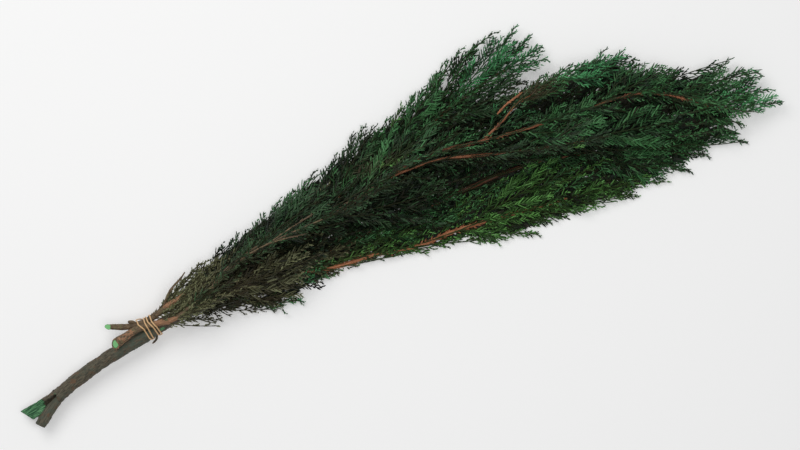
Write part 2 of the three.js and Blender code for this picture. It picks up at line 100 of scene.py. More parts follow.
# Stems and leaders: branch, stations x, y, z, radius before the pile, then x, y, radius in it
STEMS = {
    "thick_stem": ("thick", [
        [-4, 4.6, 13.5, 6.75], [25, 8.5, 14.5, 6.75], [50, 15.8, 15.5, 6.75],
        [75, 21.8, 16.8, 6.75], [100, 26.8, 18.2, 6.75], [125, 30, 19.3, 6.5],
        [150, 34, 19.2, 6.2], [172, 37, 16.6, 6],
    ], [[205, 40, 5.6], [260, 40, 5], [330, 36, 4.4]]),
    "upper_stem": ("upper", [
        [106.5, 54, 22, 2.5], [116, 50, 21.8, 2.9], [127, 46, 21.5, 3.2],
        [143, 44.3, 21.5, 3.2], [156, 46.5, 22.5, 3], [172, 51, 23, 2.7],
    ], [[200, 55.5, 2.7], [235, 62, 2.7], [270, 67, 2.6], [300, 69, 2.5], [335, 73, 2.4]]),
    "middle_stem": ("middle", [
        [107.4, 35.6, 28, 5.2], [113, 36.9, 28, 4.8], [122, 38.8, 28, 4],
        [132, 40.3, 28.2, 3.6], [143, 39.8, 28.4, 3.3], [156, 37.6, 29.6, 3],
        [172, 36, 31.2, 2.6],
    ], [[205, 44, 2.6], [235, 58, 2.6], [265, 66.5, 2.6], [300, 69, 2.5], [350, 70, 2.4],
        [395, 76, 2.3], [431, 84, 2.2]]),
    "lower_leader": ("thick", [], [
        [290, 38, 3.4], [318, 25.5, 3.3], [345, 19.5, 3.2], [372, 17.5, 3.1], [400, 11.5, 3],
        [428, 7, 3], [458, 7, 2.8], [490, 4, 2.6], [550, -4, 2], [610, -11, 1.6]]),
    "thick_leader": ("thick", [], [
        [330.6, 36, 4.2], [400, 38, 3.8], [490, 41, 3.2], [545, 40, 2.8], [610, 28, 2.4],
        [670, 8, 2], [715, -6, 1.5]]),
    "upper_leader": ("upper", [], [
        [335.6, 73.2, 2.4], [400, 92, 2.2], [450, 106, 2], [500, 120, 1.8], [545, 131, 1.5],
        [580, 137, 1.2]]),
    "inner_leader": ("middle", [], [
        [418, 81.4, 1.8], [455, 80.6, 1.8], [480, 77.5, 1.8], [505, 69.5, 1.7],
        [535, 60, 1.6], [580, 48, 1.4], [620, 38, 1.2]]),
    "far_leader": ("middle", [], [
        [431.6, 84.4, 2.2], [457, 87, 2.1], [485, 84.5, 2.1], [520, 79, 2.1], [560, 73.5, 2],
        [600, 70, 2], [645, 67, 2], [680, 62.5, 1.8], [705, 52, 1.6], [725, 38, 1.5],
        [745, 23, 1.4], [768, 9, 1.2]]),
    "outer_leader": ("middle", [], [
        [522, 79, 1.7], [545, 88, 1.7], [562, 96.5, 1.7], [580, 102, 1.6], [605, 105, 1.4],
        [630, 106, 1.2]]),
}
STEM_BRANCH = {name: row[0] for name, row in STEMS.items()}


def stations_on(layer, rows):
    """Stations x, y, z, radius of a stem that runs on a layer of the pile."""
    return [[x, y, float(layer_height(layer, x, y)), radius] for x, y, radius in rows]


ROUTES = {name: free + stations_on(BRANCH_LAYER[branch] + STEM_LAYER, rows)
          for name, (branch, free, rows) in STEMS.items()}

# Fronds: stem, x of the base, tip x, tip y, half width, above (1) or below (0) it, colour
FRONDS = {
    "thick": [
        ["thick_stem", 172, 214, 15.5, 6, 1, "olive"], ["thick_stem", 190, 264, 6, 13, 0, "olive"],
        ["thick_stem", 228, 293.5, 2, 12, 1, "olive"], ["thick_stem", 264, 340, 13, 14, 0, "olive"],
        ["lower_leader", 338, 412, 6, 11, 0, "green"], ["lower_leader", 392, 463, -3.5, 9, 1, "yellow"],
        ["lower_leader", 430, 505, -17, 10, 0, "yellow"],
        ["lower_leader", 462, 539, -28, 9, 1, "yellow"],
        ["lower_leader", 505, 600, -21, 14, 0, "yellow"],
        ["lower_leader", 548, 645, -30.5, 11, 1, "yellow"],
        ["lower_leader", 592, 677, -26, 10, 0, "green"],
        ["thick_leader", 604, 702.5, -29, 17, 1, "green"],
        ["thick_leader", 652, 726, -21, 13, 0, "green"],
        ["thick_leader", 704, 766.5, -24, 11, 1, "green"],
        ["thick_leader", 350, 470, 72, 22, 0, "deep"], ["thick_leader", 462, 582, 76, 22, 0, "deep"],
        ["thick_leader", 566, 685, 54, 22, 0, "deep"], ["thick_leader", 672, 752, 15, 14, 0, "green"],
        ["thick_leader", 352, 490, 24, 15, 1, "green"], ["lower_leader", 470, 606, 19, 21, 1, "yellow"],
    ],
    "upper": [
        ["upper_stem", 169, 217, 75.5, 6, 1, "olive"], ["upper_stem", 197, 257, 86, 9, 0, "deep"],
        ["upper_stem", 224, 297, 93, 10, 1, "deep"], ["upper_stem", 258, 333, 108, 12, 0, "green"],
        ["upper_stem", 292, 358.5, 112.5, 12, 1, "green"],
        ["upper_leader", 340, 394, 125, 11, 0, "deep"], ["upper_leader", 362, 430, 135, 16, 1, "deep"],
        ["upper_leader", 402, 480, 140, 13, 0, "green"],
        ["upper_leader", 432, 520, 159, 14, 1, "green"],
        ["upper_leader", 466, 560, 172, 15, 0, "green"],
        ["upper_leader", 503, 597, 168, 14, 1, "bright"],
        ["upper_leader", 538, 609, 156, 12, 0, "bright"],
        ["upper_leader", 568, 615, 139, 12, 1, "bright"], ["upper_stem", 214, 340, 58, 16, 0, "olive"],
        ["upper_stem", 326, 440, 80, 19, 0, "deep"], ["upper_leader", 424, 556, 98, 23, 0, "deep"],
        ["upper_leader", 480, 584, 117, 15, 1, "deep"],
    ],
    "middle": [
        ["middle_stem", 208, 335, 38, 19, 0, "olive"], ["middle_stem", 350, 472, 48, 22, 0, "deep"],
        ["middle_stem", 262, 372, 92, 18, 1, "deep"], ["middle_stem", 380, 490, 114, 20, 1, "green"],
        ["inner_leader", 545, 656, 60, 20, 1, "green"], ["inner_leader", 606, 716, 17, 22, 0, "green"],
        ["outer_leader", 560, 634, 116, 13, 1, "green"],
        ["outer_leader", 618, 698, 94, 19, 0, "bright"], ["far_leader", 646, 739, 72, 16, 1, "green"],
        ["far_leader", 684, 781, 57, 13, 0, "green"], ["far_leader", 712, 804.5, 34, 11, 1, "green"],
        ["far_leader", 738, 802.5, 16.5, 12, 0, "green"],
        ["far_leader", 764, 812.5, -2, 11, 1, "bright"],
    ],
}
FROND_BOW = 0.045  # sideways bulge of a rib, as a share of its length
BOW_PLACE = 0.45  # where along its length a rib bows out most
# Painted light and shade: a side spray is lighter at its tip and darker at its base, where shade falls.
PAINTED_TIP_LIGHT = 0.4  # how much lighter a side spray is at its tip than at its base

# Bare stretches of leaders that show on top: leader, from x, to x, clear width beside it
BARE_STRETCHES = [
    ["lower_leader", 336, 368, 2.2],
    ["lower_leader", 426, 491, 3.6],
    ["inner_leader", 432, 530, 2.6],
    ["far_leader", 484, 578, 2.6],
    ["outer_leader", 538, 580, 2.6],
    ["thick_leader", 488, 548, 4],
    ["far_leader", 642, 682, 2.8],
    ["far_leader", 712, 724, 1.8],
]

# The foliage's edges in the plan: x, y. The upper branch ends in a lobe of its own.
LOWER_EDGE = np.array([
    [150, 28], [170, 30], [185, 25], [198, 19], [211, 13], [218, 19], [240, 10], [258, 3],
    [272, 1], [280, 5], [294, 1], [300, 8], [315, 6.5], [335, 11], [350, 12], [375, 11],
    [400, 5], [415, 0], [430, -3.5], [445, -5], [465, -7.5], [480, -15], [495, -21],
    [510, -20], [522, -24], [537, -30], [545, -25], [560, -26], [600, -28], [620, -29],
    [638, -35], [645, -32], [650, -26], [665, -26], [677, -29], [684, -24], [703, -31],
    [710, -21], [726, -23], [732, -15], [745, -16], [755, -20], [767, -27], [770, -13],
    [778, -5], [812, -4], [816, -2]])
FOLIAGE_END = 815  # x past which no twig reaches
SHARED_EDGE = [
    [150, 49], [162, 51], [175, 63], [183, 69], [200, 69], [212, 76.5], [232, 83], [250, 90],
    [275, 96], [300, 100], [312, 103], [330, 112], [345, 113], [360, 117], [370, 116],
    [385, 125], [400, 135], [415, 139], [430, 138], [440, 133], [452, 138], [475, 148],
    [500, 157], [520, 150]]
UPPER_EDGE = {
    "upper": np.array(SHARED_EDGE[:-1] + [
        [525, 167], [538, 173], [560, 175], [577, 175], [596, 171], [608, 159], [616, 142],
        [617, 120], [618, 0]]),
    "other": np.array(SHARED_EDGE + [
        [540, 130], [575, 117], [600, 118], [612, 116], [625, 115], [640, 115], [650, 117],
        [662, 117], [683, 110], [693, 102], [700, 89], [717, 82], [735, 69], [745, 62],
        [760, 62], [781, 58], [790, 48], [804, 38], [806, 30], [808, 18], [814, 0], [816, -2]]),
}

# Where the foliage is loose, and where it has changed colour:
# x, y, reach along x, reach along y, strength
SPARSE = [[624, 150, 30, 28, 0.5], [745, -24, 40, 16, 0.3]]
BROWNED = [[232, 40, 42, 30, 0.35], [265, 18, 40, 10, 0.35], [590, 104, 24, 9, 0.9],
           [350, 20, 40, 8, 0.5], [420, 100, 30, 8, 0.5]]
FRESH = [[313, 23, 14, 9, 1], [288, 5, 9, 5, 1], [330, 100, 16, 10, 0.9],
         [420, 122, 18, 9, 0.7], [690, 20, 50, 26, 0.75], [775, 25, 36, 40, 0.9],
         [475, 26, 50, 10, 0.35], [470, 66, 18, 8, 0.6], [655, 100, 34, 18, 0.8],
         [745, 50, 26, 12, 0.6], [790, 15, 24, 14, 0.6], [440, 15, 30, 12, 0.6],
         [545, 130, 50, 20, 0.35]]


# Routes and curves

def smoothstep(value, low, high):
    """0 below low, 1 above high and smooth between them."""
    t = np.clip((value - low) / (high - low), 0, 1)
    return t * t * (3 - 2 * t)


def unit(vectors):
    """The directions of many vectors."""
    return vectors / np.linalg.norm(vectors, axis=-1, keepdims=True)


def along_route(stations, t):
    """Points and radii at parameters 0 to 1 of a smooth line through the stations."""
    stations = np.asarray(stations, float)
    place = np.clip(t, 0, 1) * (len(stations) - 1)
    i = np.minimum(place.astype(int), len(stations) - 2)
    part = (place - i)[:, None]
    padded = np.vstack([2 * stations[0] - stations[1], stations,
                        2 * stations[-1] - stations[-2]])
    before, start, end, after = padded[i], padded[i + 1], padded[i + 2], padded[i + 3]
    leave, arrive = (end - before) / 2, (after - start) / 2
    points = ((2 * part**3 - 3 * part**2 + 1) * start + (part**3 - 2 * part**2 + part) * leave
              + (3 * part**2 - 2 * part**3) * end + (part**3 - part**2) * arrive)
    radii = start[:, 3] + (end[:, 3] - start[:, 3]) * part[:, 0]
    return points[:, :3], radii


def route_at(name, x):
    """Point of a stem where it reaches a given x."""
    points, _ = along_route(ROUTES[name], np.linspace(0, 1, 2000))
    k = int(np.argmax(points[:, 0] >= x)) if points[-1, 0] > x else len(points) - 1
    return points[k]


def frames_along(stations, t):
    """Centres and radii of a route, and its unit directions ahead, across and upward."""
    centre, radius = along_route(stations, t)
    later = np.minimum(t + ROUTE_STEP, 1)
    ahead = unit(along_route(stations, later)[0]
                 - along_route(stations, later - 2 * ROUTE_STEP)[0])
    across = unit(np.cross(ahead, [0, 0, 1]))
    return centre, radius, ahead, across, np.cross(across, ahead)


def bezier(start, bend, end, t):
    """Points and directions of many quadratic curves (n, 3) at the parameters t (m)."""
    t = t[None, :, None]
    start, bend, end = start[:, None], bend[:, None], end[:, None]
    points = start * (1 - t)**2 + bend * 2 * t * (1 - t) + end * t**2
    return points, unit((bend - start) * 2 * (1 - t) + (end - bend) * 2 * t)


HASH_FACTORS = np.array([73856093, 19349663, 83492791])


def noise(points, seed):
    """Smooth noise from 0 to 1 at many points of space."""
    cell = np.floor(points).astype(np.int64)
    part = points - cell
    part = part * part * (3 - 2 * part)
    total = np.zeros(len(points))
    for corner in np.ndindex(2, 2, 2):
        mixed = np.bitwise_xor.reduce((cell + corner) * HASH_FACTORS, axis=1) ^ seed * 7919
        mixed = (mixed ^ (mixed >> 13)) * 1274126177 & 0xFFFFFFFF
        value = ((mixed ^ (mixed >> 16)) & 0xFFFF) / 0xFFFF
        total += value * np.prod(np.where(corner, part, 1 - part), axis=1)
    return total


# Meshes

class Shape:
    """Points, faces and point attributes of a mesh that is still being made, in plan mm."""

    def __init__(self, points, quads=(), triangles=(), **attributes):
        self.points = np.asarray(points, float).reshape(-1, 3)
        self.quads = np.asarray(quads, int).reshape(-1, 4)
        self.triangles = np.asarray(triangles, int).reshape(-1, 3)
        self.attributes = attributes

    def __getitem__(self, name):
        return self.attributes[name]

    def __setitem__(self, name, values):
        self.attributes[name] = values

    @staticmethod
    def joined(shapes):
        """One shape of several that have the same attributes."""
        starts = np.cumsum([0] + [len(shape.points) for shape in shapes])
        return Shape(
            np.vstack([shape.points for shape in shapes]),
            np.vstack([shape.quads + k for shape, k in zip(shapes, starts)]),
            np.vstack([shape.triangles + k for shape, k in zip(shapes, starts)]),
            **{name: np.concatenate([shape[name] for shape in shapes])
               for name in shapes[0].attributes})

    def to_object(self, name, material, smooth):
        """The finished mesh in the part's frame, as a scene object."""
        mesh = bpy.data.meshes.new(name)
        mesh.vertices.add(len(self.points))
        mesh.vertices.foreach_set("co", ((self.points - PLAN_MIDDLE) * MM).ravel())
        mesh.loops.add(self.quads.size + self.triangles.size)
        corners = np.concatenate([self.quads.ravel(), self.triangles.ravel()])
        mesh.loops.foreach_set("vertex_index", corners)
        mesh.polygons.add(len(self.quads) + len(self.triangles))
        first = [np.arange(len(self.quads)) * 4,
                 self.quads.size + np.arange(len(self.triangles)) * 3]
        mesh.polygons.foreach_set("loop_start", np.concatenate(first))
        mesh.update(calc_edges=True)
        mesh.polygons.foreach_set("use_smooth", np.full(len(mesh.polygons), smooth))
        for key, values in self.attributes.items():
            kind, field = ("FLOAT_VECTOR", "vector") if values.ndim == 2 else ("FLOAT", "value")
            mesh.attributes.new(key, kind, "POINT").data.foreach_set(field, values.ravel())
        mesh.materials.append(material)
        made = bpy.data.objects.new(name, mesh)
        bpy.context.scene.collection.objects.link(made)
        return made


def placed(shape, name, material, node=None, smooth=True):
    """Puts a shape into the scene as a piece of the bundle. Where a CAD node is named, the
    piece stands for it. The build starts from an empty scene, so a name that is taken already
    is a mistake."""
    if name in bpy.data.objects:
        raise RuntimeError(f"{name} has been made already")
    piece = shape.to_object(name, material, smooth)
    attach(piece, BODY)
    if node:
        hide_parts(node)


def lathe_faces(rings, sides):
    """Faces of rings of points with one pole point before them and one after them."""
    i, j = np.meshgrid(np.arange(rings - 1), np.arange(sides), indexing="ij")
    here, beside = 1 + i * sides + j, 1 + i * sides + (j + 1) % sides
    quads = np.stack([here, here + sides, beside + sides, beside], -1).reshape(-1, 4)
    j = np.arange(sides)
    k = (j + 1) % sides
    last = 1 + (rings - 1) * sides
    fans = np.vstack([np.stack([np.zeros(sides, int), 1 + j, 1 + k], -1),
                      np.stack([np.full(sides, last + sides), last + k, last + j], -1)])
    return quads, fans


def bark_shape(points, quads, triangles, grain, cut):
    """A shape with the attributes of bark: grain holds straightened coordinates, cut marks
    the cut faces, and peel and moss are left for the caller."""
    return Shape(points, quads, triangles, grain=grain, cut=cut, peel=np.zeros(len(cut)),
                 moss=np.zeros(len(cut)))


CUT_RINGS = [0.3, 0.6, 0.85, 0.96]  # radii of the rings on a cut face, as shares of the stem's
ROUND_RINGS = [0.93, 0.75, 0.4]  # radii of the last rings of a rounded end


def stem(stations, sides, spacing, flatten=1, slant_up=0, slant_side=0, relief=0, seed=1,
         round_end=False):
    """A bent tapered stem with bark relief and a cut start face."""
    points, radii = along_route(stations, np.linspace(0, 1, 400))
    length = float(np.linalg.norm(np.diff(points, axis=0), axis=1).sum())
    rings = max(4, int(length / spacing))
    t = np.concatenate([np.zeros(len(CUT_RINGS)), np.linspace(0, 1, rings)])
    share = np.concatenate([CUT_RINGS, np.ones(rings)])
    if round_end:
        share[-len(ROUND_RINGS):] = ROUND_RINGS
    centre, radius, ahead, across, upward = frames_along(stations, t)
    phi = np.arange(sides) * 2 * math.pi / sides
    side, up = np.sin(phi), np.cos(phi)
    distance, share = (t * length)[:, None], share[:, None]
    grain = np.stack(np.broadcast_arrays(
        distance, radii[0] * side * share, radii[0] * up * share), -1).reshape(-1, 3)
    ridges = noise(grain * [0.16, 1.5, 1.5], seed) - 0.5
    lumps = noise(grain * [0.07, 0.22, 0.22], seed + 1) - 0.5
    flakes = smoothstep(noise(grain * [0.3, 0.6, 0.6], seed + 2), 0.62, 0.7)
    raised = relief * (0.55 * ridges + 1.6 * lumps + 0.5 * flakes)
    reach = radius[:, None] * share + raised.reshape(len(t), sides) * (share == 1)
    fade = np.clip(1 - distance / (2.2 * radius[0]), 0, 1)
    slant = radius[:, None] * share * (slant_up * up + slant_side * side) * fade
    body = (centre[:, None] + across[:, None] * (reach * side)[..., None]
            + upward[:, None] * (reach * up * flatten)[..., None]
            + ahead[:, None] * slant[..., None])
    cut = np.repeat((share[:, 0] < 1) & (t == 0), sides).astype(float)
    return bark_shape(
        np.vstack([centre[:1], body.reshape(-1, 3), centre[-1:]]), *lathe_faces(len(t), sides),
        np.vstack([[0, 0, 0], grain, [length, 0, 0]]), np.concatenate([[1.0], cut, [0.0]]))


def spikes(stations, count, longest, seed):
    """Small dry pointed stubs all round a leader, leaning forward."""
    rng = np.random.default_rng(seed)
    t = np.sort(rng.uniform(0.02, 0.98, count))
    centre, radius, ahead, across, upward = frames_along(stations, t)
    phi = rng.uniform(0, 2 * math.pi, count)[:, None]
    out = across * np.sin(phi) + upward * np.cos(phi) * 0.8
    lean = np.radians(rng.uniform(30, 62, count))[:, None]
    way = ahead * np.cos(lean) + out * np.sin(lean)
    size = (longest * rng.uniform(0.35, 1, count))[:, None]
    foot = centre + out * (radius * 0.6)[:, None]
    beside = unit(np.cross(way, out))
    over = np.cross(beside, way)
    half = 0.45 + 0.13 * size
    bend = foot + way * size * 0.5
    ring = [foot + beside * half, foot + over * half, foot - beside * half, foot - over * half]
    waist = [bend + (point - foot) * 0.6 for point in ring]
    tip = foot + way * size + ahead * size * 0.15
    points = np.stack([*ring, *waist, tip], 1)
    j = np.arange(4)
    k = (j + 1) % 4
    quads = np.vstack([np.stack([j, k, k + 4, j + 4], -1), [[3, 2, 1, 0]]])
    fans = np.stack([j + 4, k + 4, np.full(4, 8)], -1)
    step = (np.arange(count) * points.shape[1])[:, None, None]
    return bark_shape(points, (quads + step).reshape(-1, 4), (fans + step).reshape(-1, 3),
                      points.reshape(-1, 3).copy(), np.zeros(points.shape[1] * count))


def twigs(rings, start, bend, end, width, height, tint, dry, roll):
    """Many closed three-sided twigs at once, their edges scalloped by scale leaves. The
    attributes are tint and dry of each twig, along in mm and across from -1 to 1."""
    count = len(start)
    t = np.linspace(0, 1, rings + 1)
    points, ahead = bezier(start, bend, end, t)
    side = unit(np.stack([-ahead[..., 1], ahead[..., 0], np.zeros(ahead.shape[:2])], -1))
    up = np.cross(ahead, side)
    lean = roll[:, None, None]
    side, up = side * np.cos(lean) + up * np.sin(lean), up * np.cos(lean) - side * np.sin(lean)
    scallop = np.where(np.arange(rings) % 2 == 0, 0.72, 1.08) * (1 - 0.35 * t[:-1]**2)
    half = (width[:, None] / 2 * scallop)[..., None]
    rise = height[:, None, None]
    body, side, up = points[:, :-1], side[:, :-1] * half, up[:, :-1] * rise
    ring = np.stack([body - side - up * 0.3, body + side - up * 0.3, body + up * 0.7], 2)
    vertices = np.concatenate([ring.reshape(count, -1, 3), points[:, -1:]], 1)
    i, j = np.meshgrid(np.arange(rings - 1), np.arange(3), indexing="ij")
    here, beside = i * 3 + j, i * 3 + (j + 1) % 3
    quads = np.stack([here, beside, beside + 3, here + 3], -1).reshape(-1, 4)
    last, tip = (rings - 1) * 3, rings * 3
    fans = np.array([[0, 2, 1], [last, last + 1, tip], [last + 1, last + 2, tip],
                     [last + 2, last, tip]])
    per_twig = tip + 1
    step = (np.arange(count) * per_twig)[:, None, None]
    length = np.linalg.norm(end - start, axis=1)
    along = np.append(np.repeat(t[:-1], 3), 1)
    across = np.append(np.tile([-1.0, 1.0, 0.0], rings), 0.0)
    return Shape(vertices, (quads + step).reshape(-1, 4), (fans + step).reshape(-1, 3),
                 tint=np.repeat(tint, per_twig), dry=np.repeat(dry, per_twig),
                 along=(length[:, None] * along).ravel(), across=np.tile(across, count))


# Sprays of scale leaves

def patches(rows, x, y):
    """How strongly a place lies in one of the patches, from 0 to 1."""
    found = np.zeros(len(x))
    for at_x, at_y, reach_x, reach_y, strength in rows:
        distance = ((x - at_x) / reach_x)**2 + ((y - at_y) / reach_y)**2
        found = np.maximum(found, strength * np.exp(-distance))
    return found


def uncovered(start, end, height_at):
    """False for twigs that would hide a bare stretch of a leader."""
    kept = np.ones(len(start), bool)
    for name, low_x, high_x, clear in BARE_STRETCHES:
        line, _ = along_route(ROUTES[name], np.linspace(0, 1, 300))
        line = line[(line[:, 0] > low_x) & (line[:, 0] < high_x)][::3]
        for share in (0.12, 0.34, 0.56, 0.78, 1.0):
            point = start + (end - start) * share
            apart = np.hypot(*(point[:, None, :2] - line[None, :, :2]).transpose(2, 0, 1))
            over = height_at(point) > line[np.argmin(apart, 1), 2] - 1
            kept &= ~((apart.min(1) < clear) & over)
    return kept


def inside(points, branch, slack):
    """Which plan points lie within the foliage's edges, give or take slack."""
    x, y = points[:, 0], points[:, 1]
    upper = UPPER_EDGE["upper" if branch == "upper" else "other"]
    return ((y < np.interp(x, *upper.T) + slack) & (y > np.interp(x, *LOWER_EDGE.T) - slack)
            & (x < FOLIAGE_END))


def trimmed(start, bend, end, branch, slack):
    """Curves shortened until they end within the foliage's edges, and which ones do."""
    share = np.zeros(len(start))
    for part in (0.35, 0.5, 0.62, 0.74, 0.87, 1.0):
        share[inside(start + (end - start) * part, branch, slack)] = part
    scale = share[:, None]
    return start + (bend - start) * scale, start + (end - start) * scale, share


def frond_profile(s):
    """Reach of the side sprays along the rib, as a share of the frond's half width."""
    return np.minimum(1, 0.08 + 2.6 * s) * np.clip(1.4 * (1.04 - s), 0.12, 1)**1.35


def turned(direction, angle):
    """Plan directions turned to the left by angles in radians."""
    c, s = np.cos(angle), np.sin(angle)
    return np.stack([direction[:, 0] * c - direction[:, 1] * s,
                     direction[:, 0] * s + direction[:, 1] * c], -1)


def offshoots(root, ahead, side, length, angle, curl, rise):
    """Curves that leave a parent at an angle, bend forward, and rise or droop."""
    first = turned(ahead, side * angle)
    later = turned(ahead, side * (angle - curl))
    flat = length[:, None]
    bend = np.column_stack([root[:, :2] + first * flat * 0.5, root[:, 2] + rise * length * 0.5])
    end = np.column_stack([root[:, :2] + (first * 0.5 + later * 0.5) * flat,
                           root[:, 2] + rise * length])
    return bend, end


SIDE_ANGLE, SIDE_ANGLE_DROP = 34, 9  # degrees from the rib at its base, and how much less at its tip
SIDE_LENGTHS = (6, 62)  # shortest and longest side spray in mm
SIDE_RINGS = 8  # rings of a side spray's stalk
TWIG_ANGLE, TWIG_ANGLES = 32, (12, 55)  # degrees from the side spray: mean, least and most
TWIG_SHARE, LEAST_TWIG = 0.36, 4  # longest twig as a share of its side spray, and in mm at least
TWIG_RINGS = ((0, 6.5, 3), (6.5, 99, 4))  # length from and to in mm, rings of such a twig
STALK_TINT, STALK_DRY = 0.4, 0.35


def side_sprays(rng, rib, half_width, branch, height_at, leaf, tone=0.5, inset=0.0, coarse=1.0):
    """The side sprays of one rib and their twigs. The rib is three points of a curve whose
    heights are offsets from the ground that height_at adds. Tone is how light the spray is,
    inset keeps its tips that far inside the foliage's edges, and a coarse spray has fewer
    and wider twigs."""
    length = float(np.hypot(*(rib[2] - rib[0])[0, :2]))
    count = max(5, int(length / (leaf.side_spacing / MM)) * 2)
    s = np.linspace(0.04, 0.96, count) + rng.uniform(-0.4, 0.4, count) / count
    root, along = (rows[0] for rows in bezier(*rib, s))
    along = unit(along[:, :2])
    side = np.where(np.arange(count) % 2 == 0, 1.0, -1.0)
    reach = half_width * frond_profile(s) * rng.uniform(0.75, 1.3, count)
    reach *= 1 - patches(SPARSE, root[:, 0], root[:, 1])
    angle = np.radians(SIDE_ANGLE - SIDE_ANGLE_DROP * s + rng.normal(0, 5, count))
    size = np.clip(reach / np.sin(np.maximum(angle - 0.1, 0.28)), *SIDE_LENGTHS)
    rise = rng.normal(0, 0.06) * side + rng.normal(0, 0.1, count)
    bend, end = offshoots(root, along, side, size, angle, 0.3, rise)
    bend, end, share = trimmed(root, bend, end, branch, rng.normal(0, 1.8, count) - inset)
    kept = share > 0
    root, bend, end, rise, size = (rows[kept] for rows in (root, bend, end, rise, size * share))
    shade = rng.normal(tone, 0.16, count)[kept]

    pieces = []
    for k in range(len(root)):
        n = max(3, int(size[k] / (coarse * leaf.twig_spacing / MM)) * 2)
        t = np.linspace(0.1, 0.98, n) + rng.uniform(-0.35, 0.35, n) / n
        at, ahead = (rows[0] for rows in bezier(root[[k]], bend[[k]], end[[k]], t))
        longest = np.clip(TWIG_SHARE * size[k], LEAST_TWIG, leaf.twig_length / MM)
        twig = longest * np.minimum(1, 0.5 + 1.6 * t) * np.clip(1.8 * (1.15 - t), 0, 1)**0.7
        twig *= rng.uniform(0.65, 1.25, n)
        twig_side = np.where(np.arange(n) % 2 == 0, 1.0, -1.0)
        twig_angle = np.radians(np.clip(rng.normal(TWIG_ANGLE, 7, n), *TWIG_ANGLES))
        lift = rise[k] + rng.normal(0, 0.2, n)
        middle, tip = offshoots(at, unit(ahead[:, :2]), twig_side, twig, twig_angle, 0.25, lift)
        # Each twig's tint grows lighter towards the spray's tip: painted light and shade.
        pieces.append([at, middle, tip, shade[k] + PAINTED_TIP_LIGHT * (t - 0.55)])
    if not pieces:
        return []
    start, middle, tip, tint = (np.concatenate(rows) for rows in zip(*pieces))
    middle, tip, share = trimmed(start, middle, tip, branch,
                                 rng.normal(1, 1.5, len(start)) - inset)
    kept = (share > 0) & uncovered(start, tip, height_at)
    start, middle, tip, tint = (rows[kept] for rows in (start, middle, tip, tint))
    size = np.linalg.norm(tip - start, axis=1)
    tint = tint + rng.normal(0, 0.25, len(size)) + patches(FRESH, tip[:, 0], tip[:, 1]) * 0.5
    dry = patches(BROWNED, tip[:, 0], tip[:, 1]) + rng.normal(0, 0.1, len(size))
    width = coarse * leaf.twig_width / MM * rng.uniform(0.75, 1.15, len(size))
    lean = rng.normal(0, 0.5, len(size))
    shapes = []
    for low, high, rings in TWIG_RINGS:
        chosen = (size >= low) & (size < high)
        if chosen.any():
            shapes.append(twigs(rings, *(rows[chosen] for rows in (
                start, middle, tip, width, width * 0.7, tint, dry, lean))))
    kept = uncovered(root, end, height_at)
    thick = np.full(kept.sum(), leaf.twig_width / MM * 0.9)
    brown = np.clip(patches(BROWNED, root[kept, 0], root[kept, 1]) + 0.15, 0, 1)
    if kept.any():
        shapes.append(twigs(SIDE_RINGS, root[kept], bend[kept], end[kept], thick, thick * 0.8,
                            shade[kept], brown, np.zeros(len(thick))))
    return shapes


def settled(base, layer, over):
    """A function that adds the ground's height: the stem's at the base, the layer's beyond."""
    def height_at(points):
        apart = np.hypot(points[:, 0] - base[0], points[:, 1] - base[1])
        level = layer_height(layer, points[:, 0], points[:, 1])
        return points[:, 2] + base[2] + (level - base[2]) * smoothstep(apart, 0, over)
    return height_at


def rib_through(*points):
    """The three points of a rib, at no height over its ground."""
    return [np.array([[*point, 0.0]]) for point in points]


def spray(rng, rib, half_width, branch, height_at, leaf, rings, **look):
    """A spray with a stalk of so many rings, laid on its ground, flattened at the pile's top
    and kept clear of the floor."""
    width = np.array([leaf.twig_width / MM])
    stalk = twigs(rings, *rib, width, width * 0.9, np.array([STALK_TINT]),
                  np.array([STALK_DRY]), np.zeros(1))
    shapes = side_sprays(rng, rib, half_width, branch, height_at, leaf, **look)
    shape = Shape.joined([*shapes, stalk])
    height = height_at(shape.points)
    top = layer_height(TOP_LAYER, *shape.points[:, :2].T)
    height = np.where(height > top, top + (height - top) * TOP_FLATTEN, height)
    shape.points[:, 2] = np.maximum(height, leaf.clearance / MM)
    return shape


def make_frond(branch, row, seed, leaf):
    """All twigs of one frond, in plan millimetres."""
    stem_name, base_x, tip_x, tip_y, half_width, above, _ = row
    base = route_at(stem_name, base_x)
    ahead = route_at(stem_name, base_x + 4) - base
    flat = np.array([tip_x, tip_y]) - base[:2]
    turn = np.sign(ahead[0] * flat[1] - ahead[1] * flat[0])
    outward = np.array([-flat[1], flat[0]]) * FROND_BOW * turn
    rib = rib_through(base[:2], base[:2] + flat * BOW_PLACE + outward, [tip_x, tip_y])
    rib[1], rib[2], _ = trimmed(*rib, branch, np.full(1, 3.0))
    height_at = settled(base, BRANCH_LAYER[branch] + above + 0.5,
                        min(32, 0.4 * np.hypot(*flat)))
    # Fronds that lie below their stem get a darker tone: painted shade for their depth in the pile.
    tone, coarse = (0.6, 1.0) if above else (0.4, 1.2)
    return spray(np.random.default_rng(seed), rib, half_width * leaf.spread, branch, height_at,
                 leaf, 24, tone=tone, coarse=coarse)


# Short sprays between the fronds: stem, from x, to x, spacing, rib length, colour
SHORT_SPRAYS = {
    "thick_stem": [168, 330, 6.5, 60, "olive"],
    "upper_stem": [168, 332, 6.5, 58, "olive"],
    "middle_stem": [170, 430, 6, 58, "deep"],
    "thick_leader": [335, 712, 8, 58, "green"],
    "lower_leader": [300, 606, 6.5, 50, "yellow"],
    "upper_leader": [338, 540, 5.8, 50, "green"],
    "inner_leader": [424, 618, 7, 56, "deep"],
    "far_leader": [440, 760, 6, 54, "green"],
    "outer_leader": [528, 622, 6.5, 46, "bright"],
}


